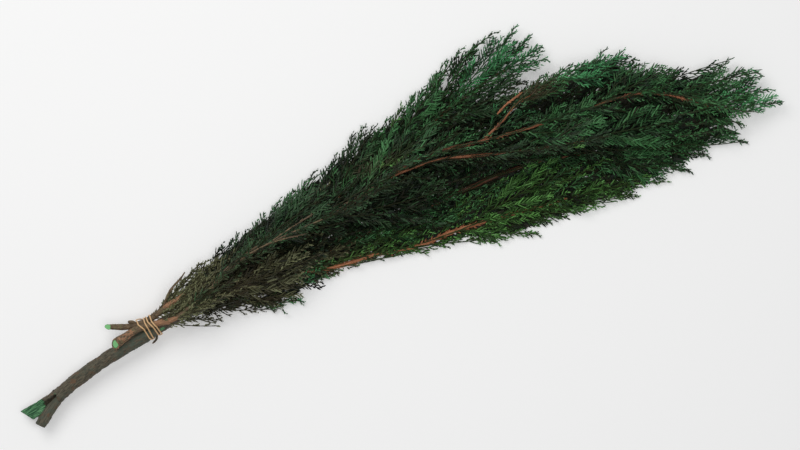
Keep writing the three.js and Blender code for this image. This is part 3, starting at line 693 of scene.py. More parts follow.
SETTLE_REACH = 18  # over how many mm a loose spray comes down from its stem to its layer
LEAST_SHARE = 0.5  # a loose spray with less room than this share of its length is left out
SHORT_HALF_WIDTH, TIP_HALF_WIDTH, UNDER_HALF_WIDTH = 8.5, 4.6, 8
WISPS = 66
WISP_STEMS = ("upper_stem", "middle_stem", "thick_stem", "upper_stem")


def spray_from(rng, name, x, angle, length, half_width, layer, leaf, tone, inset):
    """One short spray that leaves a stem at an angle in radians, or None where there is no
    room for it. The layer is that on which it comes to lie."""
    branch = STEM_BRANCH[name]
    base = route_at(name, x)
    ahead = route_at(name, x + 8) - route_at(name, x - 2)
    ahead = (ahead[:2] / max(np.hypot(*ahead[:2]), 1e-6))[None]
    way, later = (turned(ahead, np.array([turn]))[0]
                  for turn in (angle, angle - 0.25 * np.sign(angle)))
    control = base[:2] + way * length * 0.5
    rib = rib_through(base[:2], control, control + later * length * 0.5)
    rib[1], rib[2], share = trimmed(*rib, branch, np.full(1, -inset))
    if share[0] < LEAST_SHARE:
        return None
    return spray(rng, rib, half_width, branch, settled(base, layer, SETTLE_REACH), leaf, 12,
                 tone=tone, inset=inset)


def make_short_sprays(name, seed, leaf):
    """The short sprays that leave one stem or leader on both sides, over and under it."""
    low_x, high_x, spacing, longest, _ = SHORT_SPRAYS[name]
    rng = np.random.default_rng(seed)
    laid = []
    for k, x in enumerate(np.arange(low_x, high_x, spacing)):
        side = 1.0 if k % 2 == 0 else -1.0
        covering = k % 3 == 2
        drooping = k % 6 in (0, 3) and STEM_BRANCH[name] != "thick"
        angle = side * math.radians(rng.uniform(2, 9) if covering else rng.uniform(9, 38))
        over = rng.uniform(0.7, 0.95) if covering else rng.uniform(-0.9, 0.95)
        if drooping:
            over = rng.uniform(-3, -0.9)
        layer = BRANCH_LAYER[STEM_BRANCH[name]] + STEM_LAYER + over
        # Sprays that lie lower get a darker tone: painted shade for their depth in the pile.
        laid.append(spray_from(rng, name, x + rng.uniform(-2, 2), angle,
                               longest * rng.uniform(0.6, 1.15), SHORT_HALF_WIDTH, layer,
                               leaf, tone=0.42 + 0.12 * max(over, -1), inset=3.0))
    return Shape.joined([shape for shape in laid if shape])


def make_wisps(leaf):
    """Thin olive sprays that leave the stems just past the band."""
    rng = np.random.default_rng(77)
    laid = []
    for k in range(WISPS):
        name = WISP_STEMS[k % len(WISP_STEMS)]
        layer = BRANCH_LAYER[STEM_BRANCH[name]] + STEM_LAYER + rng.uniform(-0.3, 0.9)
        laid.append(spray_from(rng, name, rng.uniform(148, 184), rng.uniform(-0.45, 0.4),
                               rng.uniform(30, 64), rng.uniform(3, 5), layer, leaf,
                               tone=0.95, inset=-2.0))
    return Shape.joined([shape for shape in laid if shape])


def growing_places(rng, xs, y_step, inset, jitter, spread):
    """Places on a grid inside the foliage's edges, each shifted by up to jitter, and the
    direction of growth there. It fans out from the middle to the edges and strays by spread."""
    for x in xs:
        near = x + np.arange(-16, 25, 4)
        lower = np.interp(near, *LOWER_EDGE.T).max() + inset
        upper = np.interp(near, *UPPER_EDGE["other"].T).min() - inset
        for y in np.arange(lower, upper, y_step):
            angle = math.radians(-24 + 50 * (y - lower) / (upper - lower)) + rng.normal(0, spread)
            start = np.array([x + rng.uniform(-jitter[0], jitter[0]),
                              y + rng.uniform(-jitter[1], jitter[1])])
            yield start, np.array([math.cos(angle), math.sin(angle)])


def make_underside(leaf):
    """Coarse sprays inside the pile, which fill the room between the branches. They are painted dark:
    painted shade for the inside of the pile.
    """
    rng = np.random.default_rng(91)
    laid = []
    for start, way in growing_places(rng, np.arange(186, 772, 27), y_step=14, inset=7,
                                     jitter=(5, 3), spread=0.1):
        way = way * rng.uniform(36, 52)
        x, y = start
        high = y > 42 and x > 240 or y > 12 and x > 640
        layer = rng.uniform(1.4, 3.8) if high else rng.uniform(0.4, 1.6)
        rib = rib_through(start, start + way * 0.5 + rng.uniform(-1.5, 1.5, 2), start + way)
        rib[1], rib[2], share = trimmed(*rib, "thick", np.full(1, -9.0))
        if share[0] >= LEAST_SHARE:
            base = [x, y, layer_height(layer, x, y)]
            # The low tone and the deep green paint these sprays dark as the shade inside the pile.
            laid.append(spray(rng, rib, UNDER_HALF_WIDTH, "thick", settled(base, layer, 10),
                              leaf, 8, tone=0.28, inset=8.0, coarse=2.0))
    return Shape.joined(laid)


def make_shade_mat(leaf):
    """A dark sheet of flattened sprays at the bottom of the pile: painted shade that fills the gaps
    under the sprays above, where only its dark shape shows.
    """
    rng = np.random.default_rng(92)
    pairs = [(start, start + way * rng.uniform(15, 24)) for start, way in
             growing_places(rng, np.arange(180, 748, 5.5), y_step=4, inset=8, jitter=(3, 2),
                            spread=0.25)]
    start, end = (np.insert(rows, 2, 0, axis=1) for rows in np.swapaxes(pairs, 0, 1))
    bend = (start + end) / 2 + rng.uniform(-1, 1, start.shape) * [1, 1, 0]
    bend, end, share = trimmed(start, bend, end, "thick", np.full(len(start), -7.0))
    start, bend, end = (rows[share > 0.4] for rows in (start, bend, end))
    count, rings = len(start), 3
    layer = np.repeat(rng.uniform(0.15, 0.75, count), rings * 3 + 1)
    # Low tints and the deep green keep this sheet dark: painted shade at the bottom of the pile.
    shape = twigs(rings, start, bend, end, rng.uniform(4.5, 7, count), np.full(count, 0.8),
                  rng.uniform(0, 0.25, count), rng.uniform(-0.2, 0.4, count),
                  rng.normal(0, 0.15, count))
    x, y, z = shape.points.T
    shape.points[:, 2] = np.maximum(layer_height(layer, x, y) + z, leaf.clearance / MM)
    return shape


# Loose pointed sprays at the outline: layer, colour, x and y of the start, bend and tip
TIP_SPRAYS = {
    "upper": [
        [2.6, "green", 480, 141, 502, 152, 518, 166], [3.2, "green", 496, 146, 520, 160, 539, 172],
        [2.6, "green", 516, 150, 546, 169, 577, 174.5], [3.4, "bright", 548, 138, 577, 156, 597, 171],
        [2.8, "bright", 556, 134, 590, 149, 609, 158], [3.4, "bright", 558, 130, 592, 142, 615, 142],
        [3.0, "bright", 556, 126, 598, 135, 615, 129], [2.5, "green", 548, 120, 580, 131, 597, 126],
        [2.5, "green", 388, 112, 406, 124, 419, 139], [3.2, "green", 440, 122, 462, 132, 478, 149],
        [2.5, "deep", 328, 98, 344, 106, 356, 117], [3.9, "yellow", 444, 127, 452, 133, 462, 143],
        [3.2, "green", 412, 116, 428, 126, 444, 136], [2.5, "green", 470, 128, 488, 140, 500, 155],
        [3.4, "green", 500, 132, 524, 148, 548, 168], [2.4, "green", 536, 126, 570, 146, 600, 150],
        [2.0, "deep", 536, 116, 566, 128, 594, 134], [2.0, "deep", 520, 120, 552, 137, 586, 147],
        [2.0, "deep", 506, 130, 534, 148, 566, 160],
    ],
    "middle": [
        [4.6, "bright", 632, 96, 655, 104, 671, 116], [4.8, "bright", 650, 92, 672, 98, 686, 107],
        [4.4, "green", 744, 44, 766, 52, 784, 58], [4.9, "bright", 768, 40, 792, 42, 809, 35],
        [4.4, "bright", 772, 30, 794, 34, 809, 28], [5.0, "bright", 770, 18, 790, 18, 807, 14],
        [4.6, "bright", 778, 2, 800, 2, 817, -3], [4.3, "green", 736, 8, 754, 4, 768, -6],
        [4.6, "green", 745, 44, 762, 44, 779, 35], [5.8, "yellow", 418, 93, 428, 95, 438, 93],
        [5.8, "yellow", 432, 88, 441, 91, 451, 96], [5.8, "yellow", 594, 38, 603, 38, 612, 41],
        [5.7, "green", 712, 26, 738, 20, 762, 22], [5.4, "bright", 742, 30, 765, 24, 788, 24],
        [4.9, "green", 714, 14, 733, 8, 757, 3], [4.4, "green", 698, 8, 720, 2, 746, -4],
        [3.4, "deep", 330, 47, 345, 51, 362, 58], [5.9, "deep", 334, 67, 362, 69, 394, 75],
        [5.9, "deep", 360, 76, 386, 78, 414, 84], [5.9, "deep", 368, 65, 394, 70, 420, 76],
    ],
    "thick": [
        [0.7, "green", 726, -2, 750, -8, 769, -29], [1.2, "green", 692, -6, 711, -13, 728, -25],
        [0.7, "green", 668, -8, 689, -16, 705, -32], [1.2, "yellow", 636, -18, 658, -24, 678, -31],
        [0.7, "yellow", 606, -12, 627, -20, 646, -35], [1.2, "yellow", 506, -14, 523, -20, 539, -30],
        [0.9, "yellow", 470, -6, 486, -11, 497, -21], [0.9, "green", 266, 20, 282, 14, 293, 2],
        [1.2, "green", 250, 18, 262, 12, 272, 2], [2.3, "bright", 292, 27, 307, 26, 324, 22],
        [2.0, "bright", 298, 19, 311, 18, 327, 15], [2.2, "green", 306, 31, 320, 29, 336, 25],
        [1.5, "bright", 266, 11, 279, 7, 294, 3], [1.9, "green", 690, 2, 714, 5, 742, 6],
        [2.0, "green", 462, 14, 488, 19, 520, 27], [1.8, "yellow", 470, 20, 498, 25, 530, 36],
        [2.0, "green", 474, 27, 500, 31, 528, 33], [2.0, "green", 568, 2, 594, 4, 624, 4],
        [1.9, "yellow", 576, 10, 600, 10, 630, 14], [2.1, "green", 560, 14, 588, 18, 616, 22],
    ],
}


def make_tip_spray(branch, row, seed, leaf):
    """One loose pointed spray at the foliage's outline."""
    layer, colour, *places = row
    start, bend, tip = np.reshape(places, (3, 2)).astype(float)
    base = [*start, layer_height(layer, *start)]
    return spray(np.random.default_rng(seed), rib_through(start, bend, tip), TIP_HALF_WIDTH,
                 branch, settled(base, layer, SETTLE_REACH), leaf, 16,
                 tone=0.45 if colour == "deep" else 0.66, inset=-6.0)


# Shader maths

class Wire:
    """One output in a material's node tree. Python's operators on it add Math nodes."""

    def __init__(self, tree, socket=None):
        self.tree = tree
        self.socket = socket

    def node(self, kind, inputs, output=0, **settings):
        """Adds a node: first its settings, then its sockets' values or links."""
        made = self.tree.nodes.new(kind)
        for key, value in settings.items():
            setattr(made, key, value)
        for key, value in inputs.items():
            if isinstance(value, Wire):
                self.tree.links.new(value.socket, made.inputs[key])
            else:
                made.inputs[key].default_value = value
        return Wire(self.tree, made.outputs[output] if made.outputs else None)

    def math(self, operation, *values):
        """A Math node on this value and others."""
        return self.node("ShaderNodeMath", dict(enumerate([self, *values])),
                         operation=operation)

    def __add__(self, other):
        return self.math("ADD", other)

    def __mul__(self, other):
        return self.math("MULTIPLY", other)

    def __sub__(self, other):
        return self.math("SUBTRACT", other)

    def __pow__(self, other):
        return self.math("POWER", other)

    def clipped(self):
        """The value kept between 0 and 1."""
        return self.node("ShaderNodeClamp", {0: self})

    def between(self, low, high):
        """0 below low, 1 above high, smooth between them."""
        return self.node("ShaderNodeMapRange", {"Value": self, "From Min": low, "From Max": high},
                         interpolation_type="SMOOTHSTEP")

    def mixed(self, first, second):
        """A colour from first to second by this value."""
        return self.node("ShaderNodeMix", {0: self, 6: first, 7: second}, output=2,
                         data_type="RGBA")

    def attribute(self, name, output="Fac"):
        """A point attribute of the mesh."""
        return self.node("ShaderNodeAttribute", {}, output=output, attribute_name=name)

    def cloud(self, scale, detail):
        """Noise over the whole piece."""
        return self.node("ShaderNodeTexNoise", {"Scale": scale, "Detail": detail})

    def grain(self, stretch, scale, detail=4.0):
        """Noise in a piece's straightened coordinates, scaled by stretch along the piece."""
        place = self.node("ShaderNodeVectorMath", {
            0: self.attribute("grain", "Vector"), 1: (stretch, 1.0, 1.0)}, operation="MULTIPLY")
        return self.node("ShaderNodeTexNoise", {
            "Vector": place, "Scale": scale, "Detail": detail, "Roughness": 0.6})


def rgba(colour, share=1.0):
    """A colour, or a share of it, as a socket wants it."""
    return (*(share * c for c in colour), 1.0)


def finish_material(name, colour, roughness, height, distance, specular, glow=0.0):
    """A new material whose Principled shader takes the colour, roughness and bump made by
    the caller's functions of its first wire."""
    material = bpy.data.materials.new(name)
    material.use_nodes = True
    tree = material.node_tree
    tree.nodes.clear()
    wire = Wire(tree)
    bump = wire.node("ShaderNodeBump", {
        "Height": height(wire), "Strength": 1.0, "Distance": distance})
    shader = wire.node("ShaderNodeBsdfPrincipled", {
        "Base Color": colour(wire), "Roughness": roughness(wire), "Normal": bump,
        "Specular IOR Level": specular, "Emission Strength": glow})
    wire.node("ShaderNodeOutputMaterial", {"Surface": shader})
    return material


def leaf_material(slot, light, brown):
    """Preserved scale leaves: a dyed green that varies from twig to twig, with painted highlight flecks
    and the painted shade and light that the tint attribute carries, browner where the leaves are thin,
    with the seams of the scales."""
    def scales(wire):
        """1 on the back of a scale and 0 in the seam before the next one."""
        place = wire.attribute("along") * 0.62 + wire.attribute("across").math("ABSOLUTE") * 0.35
        return place.math("FRACT").between(0.0, 0.35)

    def colour(wire):
        # Fine noise: painted highlight flecks, light and dark, on the twigs; it also flecks their
        # dryness.
        dry_fleck_and_painted_highlight = wire.cloud(420.0, 2.0)
        tint = (wire.attribute("tint") + (dry_fleck_and_painted_highlight - 0.5) * 0.8).clipped() ** 1.8
        green = tint.mixed(rgba(light, 0.06), rgba(light))
        dry = (wire.attribute("dry") + (dry_fleck_and_painted_highlight - 0.5) * 0.4).clipped()
        return wire.node("ShaderNodeVectorMath", {
            0: dry.mixed(green, rgba(brown)), "Scale": scales(wire) * 0.45 + 0.55},
            operation="SCALE")

    def roughness(wire):
        return wire.attribute("tint") * -0.12 + 0.56

    return finish_material(slot, colour, roughness, scales, distance=0.0002, specular=0.22)


WOOD_DARK, WOOD_LIGHT, CUT_PALE = (0.008, 0.06, 0.022), (0.17, 0.42, 0.19), (0.24, 0.62, 0.24)
MOSS = (0.072, 0.088, 0.062)


def bark_material(slot, light, depth, patch, peeled, least_roughness, relief):
    """Bark with streaks along the stem and patches of another colour, peeled where the
    attribute peel says, and green dyed wood on the cut faces. Depth is the darkest bark as
    a share of the light one."""
    def streaks(wire):
        return wire.grain(0.14, 1.1)

    def colour(wire):
        bark = streaks(wire).between(0.36, 0.64).mixed(rgba(light, depth), rgba(light))
        mottle = wire.grain(0.5, 0.23, 3.0)
        patched = (mottle.between(0.54, 0.64) * 0.8).mixed(bark, rgba(patch))
        fibres = wire.grain(0.06, 1.6)
        bare = fibres.between(0.3, 0.7).mixed(rgba(peeled, 0.35), rgba(peeled))
        skinned = wire.attribute("peel").between(0.3, 0.7).mixed(patched, bare)
        moss = wire.attribute("moss") * wire.grain(0.4, 0.35).between(0.35, 0.6)
        mossy = moss.clipped().mixed(skinned, rgba(MOSS))
        wood = fibres.between(0.4, 0.68).mixed(rgba(WOOD_DARK), rgba(WOOD_LIGHT))
        face = (wire.attribute("cut") - 1.0).clipped().mixed(wood, rgba(CUT_PALE))
        return wire.attribute("cut").between(0.35, 0.65).mixed(mossy, face)

    def roughness(wire):
        return streaks(wire) * 0.3 + least_roughness

    return finish_material(slot, colour, roughness, streaks, distance=relief, specular=0.35)


def rubber_material(slot, rubber):
    """Smooth tan rubber, a little darker in places."""
    def cloud(wire):
        return wire.cloud(260.0, 3.0)

    def colour(wire):
        return cloud(wire).between(0.3, 0.7).mixed(rgba(rubber, 0.72), rgba(rubber))

    def roughness(wire):
        return cloud(wire) * 0.15 + 0.36

    return finish_material(slot, colour, roughness, cloud, distance=0.00005, specular=0.5)


def floor_material(pale, glow):
    """A plain pale surface. Its glow is painted light: an emission that lifts the shadows cast on the
    floor.
    """
    def cloud(wire):
        return wire.cloud(3.0, 2.0)

    def colour(wire):
        return cloud(wire).mixed(rgba(pale, 0.985), rgba(pale))

    def roughness(wire):
        return cloud(wire) * 0.1 + 0.75

    return finish_material("pale_floor", colour, roughness, cloud, distance=0.00002,
                           specular=0.2, glow=glow)


# Stems, leaders and the band

SPLIT_TURN = math.tan(math.radians(4))
GREEN_FACE_END = 17.0  # x where the butt's green split face gives way to bark
SPLIT_END = 31.5  # x of the inner end of the split
PALE_FACE = 2.0  # value of the attribute cut on pale wood; 1 is darker dyed wood
# Patches on the thick stem: x, y, reach along x, reach along y, strength
SCRAPED = [[155.5, 31.2, 4, 1.8, 0.9], [31.5, 13.4, 2.2, 1.6, 0.55]]
MOSSY = [[38, 8, 14, 4, 1], [68, 22, 12, 5, 1], [84, 18, 10, 4, 1]]

# Bare fine twigs on top of the pile: x, y
FINE_TWIGS = [
    [(266, 66), (284, 67.6), (302, 68.4), (324, 69), (346, 69)],
    [(284, 68), (304, 66), (326, 62)],
    [(292, 69), (314, 73.5), (340, 77.5)],
]
FINE_LAYER, FINE_RADIUS = 5.95, 0.6
FINE_PEEL = 0.22  # how far their bark has come off

# Leaders: sides, longest spike in mm, share of the surface that is bare, how orange it is
LEADERS = {
    "thick_leader": [14, 3.0, 0.4, 0.5],
    "lower_leader": [14, 6.0, 1.0, 1.0],
    "upper_leader": [12, 2.2, 0.3, 0.5],
    "inner_leader": [12, 2.4, 0.9, 0.56],
    "far_leader": [14, 4.6, 0.8, 0.58],
    "outer_leader": [14, 4.0, 0.9, 0.6],
}
LEADER_SHARE = 0.62  # bare wood of a leader against its solid, which takes in its spikes
LEADER_SPACING = 1.4  # mm between the rings of a leader
# A bare twig beside the outer leader: x, y, radius
OUTER_TWIN = [[545, 97, 0.8], [558, 102.6, 0.9], [577, 107.5, 0.6]]
TWIN_LAYER = 6.1
SPIKE_SPACING = 1.3  # mm of a leader's length for each spike


def bumped(points, stretch, seed):
    """Noise from -0.5 to 0.5 at plan points, stretched by a factor on each axis."""
    return noise(points * np.array(stretch), seed) - 0.5


def thick_stem_shape(bark):
    """The thick stem: a cleft butt with a green split face, a bent prong and a hooked twig."""
    main = stem(ROUTES["thick_stem"], sides=56, spacing=1.1, slant_side=0.52,
                relief=bark.relief / MM, seed=3)
    x, y, z = main.points.T
    plane = 14.2 + (x - 8) * SPLIT_TURN
    fibres = bumped(main.points, (0.15, 1.3, 0.0), 11)
    green = (x < GREEN_FACE_END + 2.5 * bumped(main.points, (0, 0.5, 0), 12)) & (z > plane)
    middle = 4.6 + (x + 4) * 0.135
    cleft = (x >= GREEN_FACE_END - 4) & (x < SPLIT_END) & (y < middle + 3) & (z > plane - 3)
    z[green] = (plane + 0.9 * fibres)[green]
    deep = cleft & ~green
    z[deep] = np.minimum(z, plane - 8 + 1.2 * fibres)[deep]
    main["cut"][green] = 1.0
    main["cut"] = np.maximum(main["cut"], patches(SCRAPED, x, y) * (z > 19))
    main["moss"] = (smoothstep(x, 97, 109) * (1 - smoothstep(x, 146, 150))
                    + 0.6 * patches(MOSSY, x, y))
    main["peel"] = smoothstep(x, 149, 153) * (1 - smoothstep(x, 160, 172)) * 0.2
    prong = stem([[4.8, -10.2, 15.6, 4.9], [10.5, -5.8, 16, 5.7], [18, -0.6, 16.6, 5],
                  [29, 5.2, 17.2, 4], [42, 12.2, 17.0, 3.2]], sides=40, spacing=0.7,
                 flatten=0.62, slant_side=0.05, relief=bark.relief / MM, seed=8)
    prong["cut"][:] = 0
    prong["moss"][:] = 0.75
    hook = stem([[147.2, 30, 17, 1.5], [146.6, 26, 15.5, 1.3], [144.8, 23.6, 14.6, 1.1],
                 [142.4, 22.4, 14.8, 1], [139.8, 21.6, 15.2, 0.7]], sides=14, spacing=0.5,
                relief=0.25, seed=9, round_end=True)
    return Shape.joined([main, prong, hook])


def upper_stem_shape(bark):
    """The upper stem: a slanted cut, a nub, bark peeled past the band and a bare dead twig behind the
    band.
    """
    route = ROUTES["upper_stem"]
    main = stem(route, sides=32, spacing=0.9, slant_up=1.5, slant_side=0.2,
                relief=0.7 * bark.relief / MM, seed=21)
    main["cut"] *= PALE_FACE
    ragged = main.points[:, 0] + 3 * bumped(main.points, (0.1, 0.6, 0.6), 24)
    main["peel"] = smoothstep(ragged, 164, 167) * (1 - smoothstep(ragged, 193, 198))
    nub = stem([[133, 46, 22.5, 1.8], [130.5, 49.3, 23.2, 1.7], [126.6, 51, 23.6, 1.2]],
               sides=18, spacing=0.4, relief=0.5, seed=22, round_end=True)
    twig = stem([[162, 48, 23, 1.2], [172, 58, 25, 1.1], [182, 65.5, 27, 1.1],
                 [192, 70, 28, 1], [199, 74.5, 28.5, 0.7]], sides=14, spacing=0.7,
                relief=0.5, seed=23, round_end=True)
    rough = [spikes(route[2:5], count=60, longest=2.6, seed=26),
             spikes(route[3:7], count=120, longest=5, seed=27)]
    return Shape.joined([main, nub, twig, *rough])


def middle_stem_shape(bark):
    """The middle stem: a slanted cut, flaking bark at the stub, pinkish bark past the band,
    and bare fine twigs farther on."""
    route = ROUTES["middle_stem"]
    main = stem(route, sides=32, spacing=1.0, slant_up=0.95, slant_side=-0.3,
                relief=0.8 * bark.relief / MM, seed=31)
    x, grain = main.points[:, 0], main["grain"]
    face = (main["cut"] > 0.5) & (np.hypot(grain[:, 1], grain[:, 2]) < 0.68 * route[0][3])
    main["cut"] = np.where(face, PALE_FACE, 0.0)
    flaky = smoothstep(noise(grain * [0.14, 0.8, 0.8], 33), 0.35, 0.7)
    past = smoothstep(x, 150, 153) * (1 - smoothstep(x, 172, 180)) * 0.8
    main["peel"] = np.maximum(flaky * (1 - smoothstep(x, 128, 134)), past)
    shapes = [main]
    for k, places in enumerate(FINE_TWIGS):
        fine = stations_on(FINE_LAYER, [(*place, FINE_RADIUS) for place in places])
        shapes += [stem(fine, sides=8, spacing=1.2, relief=0.3, seed=35 + k, round_end=True),
                   spikes(fine, count=30, longest=2.6, seed=45 + k)]
    for shape in shapes[1:]:
        shape["peel"][:] = FINE_PEEL
    return Shape.joined(shapes)


def leader_shape(name, seed):
    """One leader with its dry spikes."""
    sides, longest, bare, orange = LEADERS[name]
    stations = [[*place, radius * LEADER_SHARE] for *place, radius in ROUTES[name]]
    rod = stem(stations, sides, LEADER_SPACING, relief=0.5, seed=seed, round_end=True)
    covered = 0.7 - bare * 0.6
    rod["peel"] = orange * smoothstep(noise(rod["grain"] * [0.05, 0.3, 0.3], seed), covered,
                                      covered + 0.1)
    length = stations[-1][0] - stations[0][0]
    points = spikes(stations, int(length / SPIKE_SPACING), longest, seed)
    points["peel"][:] = bare * orange
    shapes = [rod, points]
    if name == "outer_leader":
        twin = stations_on(TWIN_LAYER, OUTER_TWIN)
        shapes += [stem(twin, sides=10, spacing=LEADER_SPACING, relief=0.4, seed=seed + 9,
                        round_end=True), spikes(twin, count=22, longest=3.4, seed=seed + 9)]
        for shape in shapes[2:]:
            shape["peel"][:] = orange
    return Shape.joined(shapes)


# The band's turns: x at the upper side, x at the lower side
BAND_TURNS = [[134.2, 142.4], [142.2, 144.2], [144.3, 150.8], [148.2, 153.4]]
TIED_RADII = {"thick_stem": 6.55, "upper_stem": 3.35, "middle_stem": 3.75}
TIED_LINES = {name: along_route(ROUTES[name], np.linspace(0, 1, 4000))[0] for name in TIED_RADII}
BAND_GAP = 0.25  # between the strand and the bark
RETURN_RISE = 1.9  # how far the return strand stands outside the others
BAND_STEPS, BAND_SIDES = 150, 14  # points of the strand's line in one turn, and around it
BAND_ROUNDS = 12  # how often the line is smoothed


def band_line(radius):
    """Points of the closed line of the band: it is held by whichever stem reaches out most."""
    points = []
    for turn, (upper_x, lower_x) in enumerate(BAND_TURNS):
        returning = turn == len(BAND_TURNS) - 1
        next_x = BAND_TURNS[(turn + 1) % len(BAND_TURNS)][0]
        for i in range(BAND_STEPS):
            part = i / BAND_STEPS
            over = part < 0.5
            start_x, end_x = (upper_x, lower_x) if over else (lower_x, next_x)
            share = part * 2 if over else part * 2 - 1
            x = start_x + (end_x - start_x) * share
            outside = RETURN_RISE * math.sin(math.pi * share)**0.6 if returning and not over else 0
            c, s = math.cos(2 * math.pi * part), math.sin(2 * math.pi * part)
            held = []
            for name, stem_radius in TIED_RADII.items():
                line = TIED_LINES[name]
                y, z = (np.interp(x, line[:, 0], line[:, axis]) for axis in (1, 2))
                away = stem_radius + BAND_GAP + radius + outside
                held.append((y * c + z * s + away, y + away * c, z + away * s))
            points.append([x, *max(held)[1:]])
    return np.array(points)


def band_shape(radius):
    """The rubber band: one closed, slightly flattened strand in four turns."""
    line = band_line(radius)
    for _ in range(BAND_ROUNDS):
        line = (np.roll(line, 1, 0) + line * 2 + np.roll(line, -1, 0)) / 4
    ahead = unit(np.roll(line, -1, 0) - np.roll(line, 1, 0))
    side = unit(np.array([1.0, 0, 0]) - ahead * ahead[:, :1])
    out = np.cross(side, ahead)
    roll = np.arange(BAND_SIDES) * 2 * math.pi / BAND_SIDES
    wide, thick = (np.sign(wave) * np.abs(wave)**0.7 * radius * share
                   for wave, share in ((np.cos(roll), 1.12), (np.sin(roll), 0.8)))
    points = line[:, None] + side[:, None] * wide[:, None] + out[:, None] * thick[:, None]
    i, j = np.meshgrid(np.arange(len(line)), np.arange(BAND_SIDES), indexing="ij")
    k, m = (i + 1) % len(line) * BAND_SIDES, (j + 1) % BAND_SIDES
    i = i * BAND_SIDES
    return Shape(points, np.stack([i + j, k + j, k + m, i + m], -1).reshape(-1, 4))


# Settings

def colour_property(name, description, default):
    return FloatVectorProperty(name=name, description=description, subtype="COLOR", size=3,
                               min=0, max=1, default=default)


def number_property(name, description, default, unit_name="NONE"):
    return FloatProperty(name=name, description=description, default=default, min=0,
                         unit=unit_name)


def length_property(name, description, default):
    return number_property(name, description, default, "LENGTH")


class ThujaLeafSettings(bpy.types.PropertyGroup):
    """Sizes and colours of the sprays"""
    side_spacing: length_property("Side spray spacing", "Between side sprays of one side", 0.009)
    twig_spacing: length_property("Twig spacing", "Between twigs of one side", 0.0042)
    twig_length: length_property("Longest twig", "Longest small twig", 0.0098)
    twig_width: length_property("Twig width", "Width of a twig with its scale leaves", 0.0014)
    clearance: length_property("Clearance", "Least height of a twig above the floor", 0.0003)
    spread: number_property("Spread", "Width of the sprays against the solids", 1.12)
    deep: colour_property("Deep green", "Blackish green sprays", (0.05, 0.125, 0.05))
    green: colour_property("Green", "Dark green sprays", (0.072, 0.235, 0.08))
    bright: colour_property("Bright green", "Clear green sprays", (0.09, 0.38, 0.14))
    yellow: colour_property("Yellow green", "Yellowish sprays", (0.145, 0.385, 0.09))
    olive: colour_property("Olive", "Thin browning sprays", (0.225, 0.24, 0.12))
    brown: colour_property("Dry brown", "Browned twigs", (0.085, 0.06, 0.032))


class ThujaBarkSettings(bpy.types.PropertyGroup):
    """Relief and colours of the bark"""
    relief: length_property("Relief", "Height of the bark's ridges", 0.0008)
    grey: colour_property("Grey bark", "Thick stem", (0.145, 0.125, 0.083))
    brown: colour_property("Brown bark", "Thin stems", (0.2, 0.135, 0.075))
    rust: colour_property("Rust bark", "Leaders", (0.15, 0.058, 0.03))
    orange: colour_property("Bare orange", "Peeled leaders", (0.62, 0.24, 0.11))


class ThujaBandSettings(bpy.types.PropertyGroup):
    """Size and colour of the rubber band"""
    radius: length_property("Strand radius", "Half the strand's thickness", 0.00062)
    colour: colour_property("Rubber", "Colour of the rubber", (0.8, 0.5, 0.24))


class ThujaStageSettings(bpy.types.PropertyGroup):
    """Floor, light and camera"""
    floor: colour_property("Floor", "Colour of the floor", (0.86, 0.855, 0.845))
    floor_size: length_property("Floor size", "Side of the square floor", 12.0)
    view_width: length_property("View width", "Width of the floor that the view takes in", 0.8)
    camera_height: length_property("Camera height", "Height of the camera over the floor", 2.6)
    camera_turn: FloatProperty(name="Camera turn", description="Turn of the view in the plan",
                               subtype="ANGLE", default=math.radians(-23))
    key_power: number_property("Key light", "Power of the soft key light", 20.0, "POWER")
    top_power: number_property("Top light", "Power of the light from above", 16.0, "POWER")
    sky: number_property("Sky", "Strength of the light from all around", 0.28)
    # The floor's glow is painted light: it lifts the shadows cast on the floor.
    glow: number_property("Floor glow", "Emission strength of the floor", 0.2)


# Operators

class ThujaCutStems(bpy.types.Operator):
    """Makes the three cut stems with their bark and green cut faces"""
    bl_idname = "thuja.cut_stems"
    bl_label = "Cut stems"

    def execute(self, context):
        bark = context.scene.thuja_bark
        grey = bark_material("bark_grey", bark.grey, depth=0.3, patch=(0.14, 0.07, 0.035),
                             peeled=(0.26, 0.2, 0.08), least_roughness=0.55, relief=0.0006)
        brown = bark_material("bark_brown", bark.brown, depth=0.35, patch=(0.15, 0.13, 0.06),
                              peeled=(0.44, 0.23, 0.12), least_roughness=0.5, relief=0.0004)
        placed(thick_stem_shape(bark), "thick_stem_bark", grey, "thick_stem")
        placed(upper_stem_shape(bark), "upper_stem_bark", brown, "upper_stem")
        placed(middle_stem_shape(bark), "middle_stem_bark", brown, "middle_stem")
        return {"FINISHED"}


class ThujaLeaders(bpy.types.Operator):
    """Makes the leaders that fork from the stems, with their dry spikes"""
    bl_idname = "thuja.leaders"
    bl_label = "Leaders"

    def execute(self, context):
        bark = context.scene.thuja_bark
        rust = bark_material("bark_rust", bark.rust, depth=0.4, patch=(0.1, 0.05, 0.03),
                             peeled=bark.orange, least_roughness=0.5, relief=0.0003)
        for k, node in enumerate(LEADERS):
            placed(leader_shape(node, 40 + k), f"{node}_bark", rust, node)
        return {"FINISHED"}


